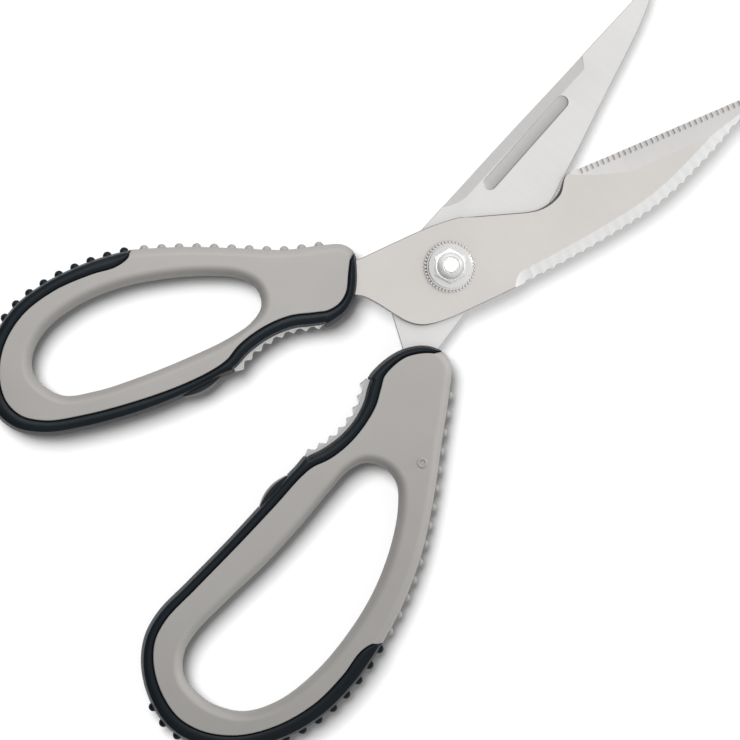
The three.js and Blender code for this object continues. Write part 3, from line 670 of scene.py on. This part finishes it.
def buildPad(name, plan, turn, edging):
    form, half = padForm, padForm["width"] / 2
    loop, inward = outlineOf(plan)[:2]
    end = samplesAt(plan["jawSpan"])[1]
    run = runLength(loop[end:end + 40])
    at = end + int(np.searchsorted(run, plan["stopClearance"] + form["length"] / 2))
    side = -inward[at]
    along = np.array([side[1], -side[0]])
    stretch = np.array([-0.5, 0.5])[:, None] * (form["length"] + 2 * form["slack"]) * along
    sinkPocket(edging, form, loop[at] + stretch, [side, side], turn)
    shares = np.linspace(-1, 1, form["steps"] + 1)
    path = [loop[at] + along * share * form["length"] / 2 for share in shares]
    sections = []
    for share in shares:
        crown = form["height"] * (1 - share * share)
        section = [(-form["seatDepth"], handleMiddle - half)]
        for v in np.linspace(-1, 1, 13):
            arch = crown * (1 - form["draft"] * abs(v) ** 1.5) - form["edgeFall"] * v ** 4
            section.append((arch, handleMiddle + v * half))
        sections.append([*section, (-form["seatDepth"], handleMiddle + half)])
    return addSweep(name, path, [side] * len(path), sections, turn, padGloss, form["sharp"])


upperJaw = buildJaw("upperJawStrip", upperHandle, frontTurn, upperEdging)
lowerJaw = buildJaw("lowerJawStrip", lowerHandle, rearTurn, lowerEdging)
upperPad = buildPad("upperStopPad", upperHandle, frontTurn, upperEdging)
lowerPad = buildPad("lowerStopPad", lowerHandle, rearTurn, lowerEdging)
nubRow(upperEdging, upperHandle, frontTurn, "backNubs", blackRubber)
nubRow(lowerEdging, lowerHandle, rearTurn, "backNubs", blackRubber)
nubRow(upperCore, upperHandle, frontTurn, "frontNubs", greyPlastic)
nubRow(lowerCore, lowerHandle, rearTurn, "frontNubs", greyPlastic)
print("jaws, stop pads and nubs set")


# blades: chamfered blanks with sides painted dark as shade, then every ground surface cut with its own
# finish, the notch, gullets and fuller painted darker as shade

bladeForm = {
    "spacing": 0.7, "sharp": 9, "edgeThickness": 0.5, "boreRadius": 2.9,
    "overrun": 1.0, "grindSteps": 10, "steepest": 2,  # cutters' reach past the steel, steps and slope there
}
frontBlade = {
    "chamfer": 0.2, "tip": (97.2, 0.8), "heel": (42.4, 6.6),
    "boneNotch": [(41.2, 6.5), (39.8, 5.4), (37.2, 3.2), (33.6, 1.95), (29.8, 1.9), (26.5, 2.9)],
    "shoulder": (9.8, 10.5),
    "top": [(7.6, 11.2), (0, 12.6), (-10, 13.5), (-20, 14.2)],
    "tang": [(-28, 15.6), (-42, 20.4), (-44.4, 19.6), (-44.6, 15.2), (-43.2, 13.6), (-33, 9.6), (-27.2, 6.3)],
    "neck": [(-24.8, 4.2), (-22.4, 0.5), (-20, -4), (-17.6, -7.9), (-14, -10.8), (-8, -12.4), (0, -13.2)],
    "back": [(15, -14.2), (30, -14.7), (45, -14.6), (57, -13.9), (66, -12.4), (74, -10.2),
             (82, -7.7), (90, -4.6), (95, -1.9)],
    "grindWidth": 6.4, "grindBow": 0.35, "grindFade": 16.0, "fadePower": 0.7, "fadeLeast": 0.02,
    "serrations": 30, "serrationStart": 45.7, "serrationPitch": 1.68, "serrationRadius": 0.5,
    "serrationReach": 1.6, "serrationDepth": 0.28,
    "scallops": 24, "scallopStart": 17.6, "scallopEnd": 89.0, "biteRadius": 2.2, "biteDepth": 0.62,
    "biteSpan": (-1, 4),
    "scoopRadius": 9.0, "scoopSlope": 20, "scoopReach": 3.5, "scoopHalf": 14,
    "bevelStart": 14.5, "bevelWidth": 3.4, "bevelDepth": 1.15, "runOut": 7.0,
    # steep grind from the heel round the notch to the shoulder: width at shares of its run
    "notchDepth": 2.0, "notchEnds": (1.5, 0.6), "notchOffset": 0.04,
    "notchWidths": [(0, 0.15), (0.06, 0.35), (0.16, 0.8), (0.28, 0.65), (0.42, 0.45), (0.9, 0.4), (1, 0.2)],
}
rearBlade = {
    "chamfer": 0.1, "tip": (98, 0.2),
    "spine": [(95.8, 1.6), (92, 2.4), (75, 4.4), (60, 6.1), (40, 8.5), (20, 10.7), (3.5, 12.5)],
    "shoulder": [(-5, 12.9), (-11, 12.0), (-15.5, 10.0), (-18.6, 7.0), (-20.6, 4.2)],
    "tang": [(-26, -3), (-29, -5.4), (-36, -8.2), (-49.4, -13.2), (-50.6, -15), (-49.8, -18.6), (-48, -19.4),
             (-36, -15.9), (-20, -11)],
    "edge": [(-8, -11.3), (2, -12.2), (15, -12.9), (30, -12.3), (40, -11.0), (50, -9.5), (60, -7.8),
             (70, -6.2), (80, -4.6), (88, -3.1), (94, -1.5)],
    "grindStart": 10, "grindWidth": 5.0, "runOut": 8.0,
    "reliefSpan": (12, 71.5), "reliefWidth": 3.1, "reliefDepth": 0.4, "reliefSlant": 2.6,
    "fullerFrom": (26.1, 4.6), "fullerTo": (56.6, 1.75), "fullerWidth": 3.9, "fullerDepth": 0.55,
    "fullerWall": 0.34, "wallLean": 1.1,
}


def buildBlank(name, outline, chamfer, span, turn, material):
    outline = np.array(outline)
    inward = mitres(outline) * turnSense(outline)
    rings = [(chamfer, span[0]), (0, span[0] + chamfer), (0, span[1] - chamfer), (chamfer, span[1])]
    points = [(*place, z) for inset, z in rings for place in outline + inward * inset]
    faces, sides = closedFaces(len(rings), len(outline)), (len(rings) - 1) * len(outline)
    return addMesh(name, points, faces, turn, material, bladeForm["sharp"], sides, wallSteel)


def grindSection(width, depth, level, out, bow=0.0):
    # the wheel's section: nothing at the strip's width, the full depth at the edge, then clear of the steel
    shares = np.linspace(0, 1, bladeForm["grindSteps"] + 1)
    over = bladeForm["overrun"]
    face = [(width * (1 - t), level - out * depth * ((1 - bow) * t + bow * t * t)) for t in shares]
    slope = min(depth * (1 + bow) / width, bladeForm["steepest"])
    clear = level + out * over
    return face + [(-over, level - out * (depth + slope * over)), (-over, clear), (width, clear)]


def easedPath(path, inward, width, runOut):  # the low-X end comes in gradually from outside the blade
    share = np.clip(1 - (path[:, 0] - path[:, 0].min()) / runOut, 0, 1) ** 2
    return path - inward * (width * share)[:, None]


def between(path, fromX, toX):
    return path[(path[:, 0] >= fromX) & (path[:, 0] <= toX)]


def heelShare(at, plan):  # how much of its width and depth the hollow grind has, a distance from its heel
    return np.clip(at / plan["grindFade"], plan["fadeLeast"], 1) ** plan["fadePower"]


def boreCutter(material):  # clearance for the bolt's shank
    low, high = levels("rear_blade")[0] - 1, levels("front_blade")[1] + 1
    return addPeg("bore", bladeForm["boreRadius"], low, high, segments=64, material=material)


def layDown(tool, lift, slope):  # an upright tool laid along Y, tipped and raised
    tool.data.transform(Matrix.Translation((0, 0, lift * mm)) @ Matrix.Rotation(slope - math.pi / 2, 4, "X"))


def cutRow(blade, name, points, heights, tool, count, finish):
    path = addPath(name, points, heights, frontTurn)
    placeRow(blade, rowCut, path, tool, count, finish, bladeForm["sharp"])


def buildFrontBlade():
    plan, spacing = frontBlade, bladeForm["spacing"]
    span = levels("front_blade")
    back = openCurve([plan["tang"][-1], *plan["neck"], *plan["back"], plan["tip"]], spacing)
    notch = openCurve([plan["heel"], *plan["boneNotch"]], spacing)
    outline = np.vstack([[plan["tip"]], notch, openCurve([plan["shoulder"], *plan["top"]], spacing),
                         plan["tang"][:-1], back[:-1]])
    blade = buildBlank("frontBlade", outline, plan["chamfer"], span, frontTurn, frontSteel)
    # hollow grind along the serrated edge
    heel, tip = np.array(plan["heel"]), np.array(plan["tip"])
    length = np.linalg.norm(tip - heel)
    run = (tip - heel) / length
    inward = np.array([run[1], -run[0]])
    depth = span[1] - span[0] - bladeForm["edgeThickness"]
    steps = plan["grindFade"] * np.linspace(0, 1, 25) ** 2 + 0.1  # closer together at the heel
    steps = np.concatenate([steps, [length + bladeForm["overrun"]]])
    sections = [grindSection(plan["grindWidth"] * s, depth * s, span[1], 1, plan["grindBow"])
                for s in heelShare(steps, plan)]
    path = heel + run * steps[:, None]
    grind = addSweep("hollowGrind", path, [inward] * len(steps), sections, frontTurn, hollowSteel)
    # bevel that carries the scaler
    edge = between(back, plan["bevelStart"], plan["tip"][0])
    side = leftOf(edge)
    eased = easedPath(edge, side, plan["bevelWidth"], plan["runOut"])
    section = grindSection(plan["bevelWidth"], plan["bevelDepth"], span[1], 1)
    bevel = addSweep("scalerBevel", eased, side, [section] * len(edge), frontTurn, groundSteel)
    # steep narrow grind round the bone notch, painted dark as the shade gap between the blades, a hair
    # outside the outline, so that no two lines meet
    flank = np.vstack([notch, [plan["shoulder"]]])
    flank = partOf(flank, plan["notchEnds"][0], runLength(flank)[-1] - plan["notchEnds"][1], 50)
    widths = np.interp(np.linspace(0, 1, len(flank)), *np.transpose(plan["notchWidths"]))
    sections = [grindSection(w, plan["notchDepth"], span[1], 1) for w in widths]
    side = leftOf(flank)
    flank = flank - side * plan["notchOffset"]
    crescent = addSweep("notchBevel", flank, side, sections, frontTurn, notchSteel)
    cutAway(blade, grind, bevel, crescent, boreCutter(frontSteel), sharp=bladeForm["sharp"])
    # scallops: upright bites in the back, then sloping scoops that leave the wavy border
    row = between(back, plan["scallopStart"], plan["scallopEnd"])
    bite = addPeg("bite", plan["biteRadius"], *plan["biteSpan"], segments=64)
    bite.data.transform(Matrix.Translation((0, (plan["biteDepth"] - plan["biteRadius"]) * mm, 0)))
    cutRow(blade, "biteRow", row, span[0], bite, plan["scallops"], groundSteel)
    slope = math.radians(plan["scoopSlope"])
    lift = plan["scoopRadius"] / math.cos(slope) - plan["scoopReach"] * math.tan(slope)
    scoop = addPeg("scoop", plan["scoopRadius"], -plan["scoopHalf"], plan["scoopHalf"], segments=96)
    layDown(scoop, lift, slope)
    cutRow(blade, "scoopRow", row, span[1], scoop, plan["scallops"], groundSteel)
    # serrations: small grooves of even depth, down the hollow grind to the edge, their gullets painted darker
    # as shade
    slope = math.atan(depth / plan["grindWidth"] * (1 + plan["grindBow"] * 0.75))
    radius, reach = plan["serrationRadius"], plan["serrationReach"] / math.cos(slope)
    tail, nose = 4, 0.3  # how far the tool runs out past the edge, and the length of its rounded end
    groove = addLathe("groove", [(0, -tail), (radius, -tail), (radius, reach - nose), (radius * 0.7, reach),
                                 (0, reach + 0.1)], segments=24)
    layDown(groove, (radius - plan["serrationDepth"]) / math.cos(slope), slope)
    places = plan["serrationStart"] - heel[0] + np.arange(plan["serrations"])[::-1] * plan["serrationPitch"]
    heights = span[1] - depth * heelShare(places, plan)
    row = heel + run * places[:, None]
    cutRow(blade, "serrationRow", row, heights, groove, plan["serrations"], gulletSteel)
    return blade


def trough(length, plan, level):  # a shallow hollow with round ends and a low steep wall, drawn along X
    half, wall, depth = plan["fullerWidth"] / 2, plan["fullerWall"], plan["fullerDepth"]
    turns = np.linspace(0, math.pi, 25)
    foot = 1 - wall * plan["wallLean"] / half
    rows = [(1 + plan["wallLean"] / half, level + 1), (foot, level - wall)]
    rows += [(foot * t, level - wall - (depth - wall) * (1 - t * t)) for t in np.linspace(1, 0, 9)[1:]]
    points = []
    for t, height in rows:
        points += [(length + half * t * math.sin(a), -half * t * math.cos(a), height) for a in turns]
        points += [(-half * t * math.sin(a), half * t * math.cos(a), height) for a in turns]
    return points, gridFaces(len(rows), 2 * len(turns)) + [tuple(range(2 * len(turns)))]


def buildRearBlade():
    plan, spacing = rearBlade, bladeForm["spacing"]
    span = levels("rear_blade")
    spine = openCurve([plan["tip"], *plan["spine"], *plan["shoulder"]], spacing)
    edge = openCurve([plan["tang"][-1], *plan["edge"], plan["tip"]], spacing)
    outline = np.vstack([spine, plan["tang"][:-1], edge[:-1]])
    blade = buildBlank("rearBlade", outline, plan["chamfer"], span, rearTurn, rearSteel)
    # cutting grind on the hidden side
    path = between(edge, plan["grindStart"], plan["tip"][0])
    side = leftOf(path)
    depth = span[1] - span[0] - bladeForm["edgeThickness"]
    section = grindSection(plan["grindWidth"], depth, span[0], -1)
    grind = addSweep("edgeGrind", easedPath(path, side, plan["grindWidth"], plan["runOut"]), side,
                     [section] * len(path), rearTurn, rearSteel)
    # ground strip along the spine, with a slanted far end
    path = between(spine, *plan["reliefSpan"])
    side = leftOf(path)
    keep = (path[:, 0] < path[0, 0] - 2 * plan["reliefSlant"]) | (np.arange(len(path)) == 0)
    path, side = path[keep], side[keep]
    side[0] += np.array([side[0][1], -side[0][0]]) * plan["reliefSlant"] / plan["reliefWidth"]
    section = grindSection(plan["reliefWidth"], plan["reliefDepth"], span[1], 1)
    relief = addSweep("spineRelief", easedPath(path, side, plan["reliefWidth"], plan["runOut"]), side,
                      [section] * len(path), rearTurn, duskySteel)
    # blind fuller, its floor painted darker as shade
    start, stop = np.array(plan["fullerFrom"]), np.array(plan["fullerTo"])
    heading = math.atan2(*(stop - start)[::-1])
    fuller = addMesh("fuller", *trough(np.linalg.norm(stop - start), plan, span[1]), None, fullerSteel)
    place = Matrix.Translation(Vector((*start, 0)) * mm) @ Matrix.Rotation(heading, 4, "Z")
    fuller.data.transform(rearTurn @ place)
    return cutAway(blade, grind, relief, fuller, boreCutter(rearSteel), sharp=bladeForm["sharp"])


frontPiece = buildFrontBlade()
rearPiece = buildRearBlade()
print("blades ground:", len(frontPiece.data.polygons), "and", len(rearPiece.data.polygons), "faces")


# pivot: bolt, knurled ring, washer and domed cap nut

pivotForm = {
    "segments": 96, "bore": 2.9, "sharp": 25,
    "knurlRadius": 7.3, "knurlDepth": 0.55, "knurlTeeth": 44, "beadRadius": 0.37, "ringChamfer": 0.35,
    "washerRadius": 6.1, "washerRound": 0.25,
    "hexAcross": 8.5, "hexTurn": 49.4, "hexChamfer": 28, "hexHeight": 2.4, "hexFlat": 0.96,
    "domeRadius": 3.8, "domeBelly": (3.65, 0.9), "domeShoulder": (3.1, 0.65), "domeFlat": (2.45, 0.15),
    "discRadius": 2.0, "discRound": 0.12, "grooveDepth": 0.6, "grooveWidth": 0.3, "grooveLean": 0.05,
    "headRadius": 6.4, "headRound": 0.6, "headGap": 0.3, "shankRadius": 2.6,
}


def addTurned(name, profile, material=pivotSteel):
    return addLathe(name, profile, pivotForm["segments"], material, pivotForm["sharp"])


def buildRing():
    form, (low, high) = pivotForm, levels("knurled_ring")
    root, chamfer, bore = form["knurlRadius"] - form["knurlDepth"], form["ringChamfer"], form["bore"]
    ring = addTurned("knurledRing", [(bore, low), (root, low), (root, high - chamfer), (root - chamfer, high),
                                     (bore, high), (bore, low)])
    bead, tall = form["beadRadius"], high - low
    tooth = addLathe("knurlBead", [(0, 0), (bead, 0), (bead, tall - bead * 0.8),
                                   (bead * 0.75, tall - bead * 0.25), (0, tall)], segments=10)
    turns = np.arange(form["knurlTeeth"]) * 2 * math.pi / form["knurlTeeth"]
    circle = np.stack([np.cos(turns), np.sin(turns)], axis=1) * (form["knurlRadius"] - bead)
    path = addPath("knurlPath", circle, low, Matrix.Identity(4), closed=True)
    return placeRow(ring, rowAdded, path, tooth, form["knurlTeeth"], pivotSteel, form["sharp"])


def buildWasher():
    form, (low, high) = pivotForm, levels("plain_washer")
    radius, rounding, bore = form["washerRadius"], form["washerRound"], form["bore"]
    edge = [(radius - rounding * (1 - math.cos(a)), high - rounding * (1 - math.sin(a)))
            for a in np.linspace(0, math.pi / 2, 7)]
    return addTurned("plainWasher", [(bore, low), (radius, low), *edge, (bore, high), (bore, low)])


def buildCapNut():
    form, (low, high) = pivotForm, levels("cap_nut")
    top = low + form["hexHeight"]
    corner = form["hexAcross"] / math.sqrt(3)
    turns = [math.radians(form["hexTurn"] + 60 * k) for k in range(6)]
    points = [(corner * math.cos(a), corner * math.sin(a), z) for z in (low, top) for a in turns]
    nut = addMesh("capNut", points, closedFaces(2, 6), None, nutSteel)
    slope = math.tan(math.radians(form["hexChamfer"]))
    flat, wide = form["hexAcross"] / 2 * form["hexFlat"], corner + 1
    cone = addTurned("hexCone", [(0, low - 1), (wide, low - 1), (wide, top - (wide - flat) * slope),
                                 (flat, top), (0, top)], nutSteel)
    cutAway(nut, cone, keep="INTERSECT")
    (belly, bellyRise), radius, disc = form["domeBelly"], form["domeRadius"], form["discRadius"]
    slopes = [(r, high - drop) for r, drop in (form["domeShoulder"], form["domeFlat"])]
    flanks = openCurve([(radius, top), (belly, top + bellyRise), *slopes], spacing=0.2)
    sunk, rounding = high - form["grooveDepth"], form["discRound"]
    # ring groove, then a disc
    crown = [(disc + form["grooveWidth"], sunk), (disc + form["grooveLean"], sunk),
             (disc, high - rounding), (disc - rounding, high), (0, high)]
    dome = addTurned("dome", [(0, top - 0.5), (radius, top - 0.5), *flanks, *crown], nutSteel)
    return cutAway(nut, dome, keep="UNION", sharp=form["sharp"])


def buildBolt():
    form, (low, high) = pivotForm, levels("pivot_bolt")
    under = levels("rear_blade")[0] - form["headGap"]
    radius, rounding, shank = form["headRadius"], form["headRound"], form["shankRadius"]
    edge = [(radius - rounding * (1 - math.sin(a)), low + rounding * (1 - math.cos(a)))
            for a in np.linspace(0, math.pi / 2, 7)]
    stem = [(shank, under), (shank, high), (0, high)]
    return addTurned("pivotBolt", [(0, low), *edge, (radius, under), *stem])


ring, washer, capNut, bolt = buildRing(), buildWasher(), buildCapNut(), buildBolt()
print("pivot assembled")


# studio: a surround that is dark on the left and bright on the right, and soft lamps for some pieces each

plasticPieces = (upperCore, lowerCore, upperEdging, lowerEdging, upperPad, lowerPad)
metalPieces = (frontPiece, rearPiece, upperJaw, lowerJaw, ring, washer, capNut, bolt)
studio = {
    "centre": (-35.8, -6.8), "frameWidth": 207.2, "imageTurn": 41.6, "tilt": 3.0, "lens": 180, "sensor": 36,
    "surround": [(-1.0, 0.12), (-0.75, 0.22), (-0.4, 0.66), (0.0, 0.88), (0.4, 0.98), (1.0, 1.15)],
    "floorTone": 0.3, "floorHalf": 4000,
}
lamps = {  # side: how far to the right and up in the picture the lamp stands
    "floorLamp": {"power": 86.0, "size": 0.95, "distance": 2.1, "height": 70, "side": (-1, 1)},
    "handleShade": {"power": 58.0, "size": 0.85, "distance": 2.1, "height": 70, "side": (-1, 1)},
    "topLamp": {"power": 0.78, "size": 0.18, "distance": 0.26, "height": 58, "side": (-0.2, 1)},
    "sideLamp": {"power": 4.0, "size": 0.08, "distance": 0.9, "height": 1.5, "side": (1, 0.2)},
    "gleamLamp": {"power": 1.1, "size": 0.25, "distance": 0.9, "height": 5, "side": (1, 0.4)},
}


def addLamp(name, middle, right, up, lit, blocking=()):  # lights, and is blocked by, only some objects
    look = lamps[name]
    lamp = bpy.data.lights.new(name, "AREA")
    lamp.energy, lamp.size = look["power"], look["size"]
    stand = bpy.data.objects.new(name, lamp)
    rise = math.radians(look["height"])
    side = right * look["side"][0] + up * look["side"][1]
    aim = side.normalized() * math.cos(rise) + Vector((0, 0, math.sin(rise)))
    stand.location = middle + aim * look["distance"]
    stand.rotation_mode = "QUATERNION"
    stand.rotation_quaternion = aim.to_track_quat("Z", "Y")
    scene.collection.objects.link(stand)
    receivers, blockers = (bpy.data.collections.new(name + kind) for kind in ("Lights", "Shades"))
    for objects, group in ((lit, receivers), (blocking, blockers)):
        for obj in objects:
            group.objects.link(obj)
    stand.light_linking.receiver_collection = receivers
    if blocking:
        stand.light_linking.blocker_collection = blockers


def buildStudio():
    turn = math.radians(studio["imageTurn"])
    right = Vector((math.cos(turn), -math.sin(turn), 0))
    up = Vector((math.sin(turn), math.cos(turn), 0))
    tilt = math.radians(studio["tilt"])
    back = (Vector((0, 0, math.cos(tilt))) - (right + up).normalized() * math.sin(tilt)).normalized()
    right = (right - back * right.dot(back)).normalized()
    up = back.cross(right)
    camera = bpy.data.cameras.new("camera")
    camera.lens, camera.sensor_width = studio["lens"], studio["sensor"]
    distance = studio["frameWidth"] * mm * studio["lens"] / studio["sensor"]
    holder = bpy.data.objects.new("camera", camera)
    middle = Vector((*studio["centre"], sum(levels("front_blade")) / 2)) * mm
    facing = Matrix((right, up, back)).transposed().to_4x4()
    holder.matrix_world = Matrix.Translation(middle + back * distance) @ facing
    scene.collection.objects.link(holder)
    scene.camera = holder
    # surround
    world = bpy.data.worlds.new("surround")
    scene.world = world
    world.use_nodes = True
    tree = world.node_tree
    place = addNode(tree, "ShaderNodeTexCoord").outputs["Generated"]
    across = addNode(tree, "ShaderNodeVectorMath", {0: place, 1: right}, operation="DOT_PRODUCT")
    along = addNode(tree, "ShaderNodeMapRange", {"Value": across.outputs["Value"], "From Min": -1})
    ramp = addNode(tree, "ShaderNodeValToRGB", {"Fac": along.outputs["Result"]})
    stops = ramp.color_ramp.elements
    for at, tone in studio["surround"][1:-1]:
        stops.new((at + 1) / 2)
    for stop, (at, tone) in zip(stops, studio["surround"]):
        stop.position, stop.color = (at + 1) / 2, (tone, tone, tone, 1)
    shade = tree.nodes["Background"].outputs["Background"]
    tree.links.new(ramp.outputs["Color"], tree.nodes["Background"].inputs["Color"])
    white = addNode(tree, "ShaderNodeBackground", {"Color": (1, 1, 1, 1)}).outputs["Background"]
    ray = addNode(tree, "ShaderNodeLightPath").outputs["Is Camera Ray"]
    mix = addNode(tree, "ShaderNodeMixShader", {"Fac": ray, 1: shade, 2: white})  # the camera sees white
    tree.links.new(mix.outputs["Shader"], tree.nodes["World Output"].inputs["Surface"])
    # floor: lit by its own lamps, so that it is white with a soft shadow
    far = studio["floorHalf"]
    floor = addMesh("floor", [(-far, -far, 0), (far, -far, 0), (far, far, 0), (-far, far, 0)], [(0, 1, 2, 3)])
    pale = bpy.data.materials.new("paleFloor")
    pale.use_nodes = True
    shader = pale.node_tree.nodes["Principled BSDF"]
    shader.inputs["Base Color"].default_value = (*[studio["floorTone"]] * 3, 1)
    shader.inputs["Roughness"].default_value = 1
    shader.inputs["Specular IOR Level"].default_value = 0
    floor.data.materials.append(pale)
    addLamp("floorLamp", middle, right, up, [floor])
    addLamp("handleShade", middle, right, up, [floor], (*plasticPieces, upperJaw, lowerJaw))
    addLamp("topLamp", middle, right, up, (*plasticPieces, capNut))
    addLamp("sideLamp", middle, right, up, [lowerCore])
    addLamp("gleamLamp", middle, right, up, metalPieces)


buildStudio()
scene.view_settings.view_transform = "Standard"
print("studio lit")


# every piece stands for its solid and moves with its body
for piece, node, body, slot in (
        (frontPiece, "front_blade", "front_half", "satin_steel_front"),
        (upperCore, "upper_handle_core", "front_half", "grey_plastic"),
        (upperEdging, "upper_handle_edging", "front_half", "black_rubber"),
        (upperJaw, "upper_jaw_strip", "front_half", "jaw_steel"),
        (upperPad, "upper_stop_pad", "front_half", "black_rubber"),
        (rearPiece, "rear_blade", "rear_half", "satin_steel_rear"),
        (lowerCore, "lower_handle_core", "rear_half", "grey_plastic"),
        (lowerEdging, "lower_handle_edging", "rear_half", "black_rubber"),
        (lowerJaw, "lower_jaw_strip", "rear_half", "jaw_steel"),
        (lowerPad, "lower_stop_pad", "rear_half", "black_rubber"),
        (bolt, "pivot_bolt", "rear_half", "pivot_steel"),
        (ring, "knurled_ring", "tension_nut", "pivot_steel"),
        (washer, "plain_washer", "tension_nut", "pivot_steel"),
        (capNut, "cap_nut", "tension_nut", "pivot_steel")):
    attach(piece, body)
    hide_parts(node)
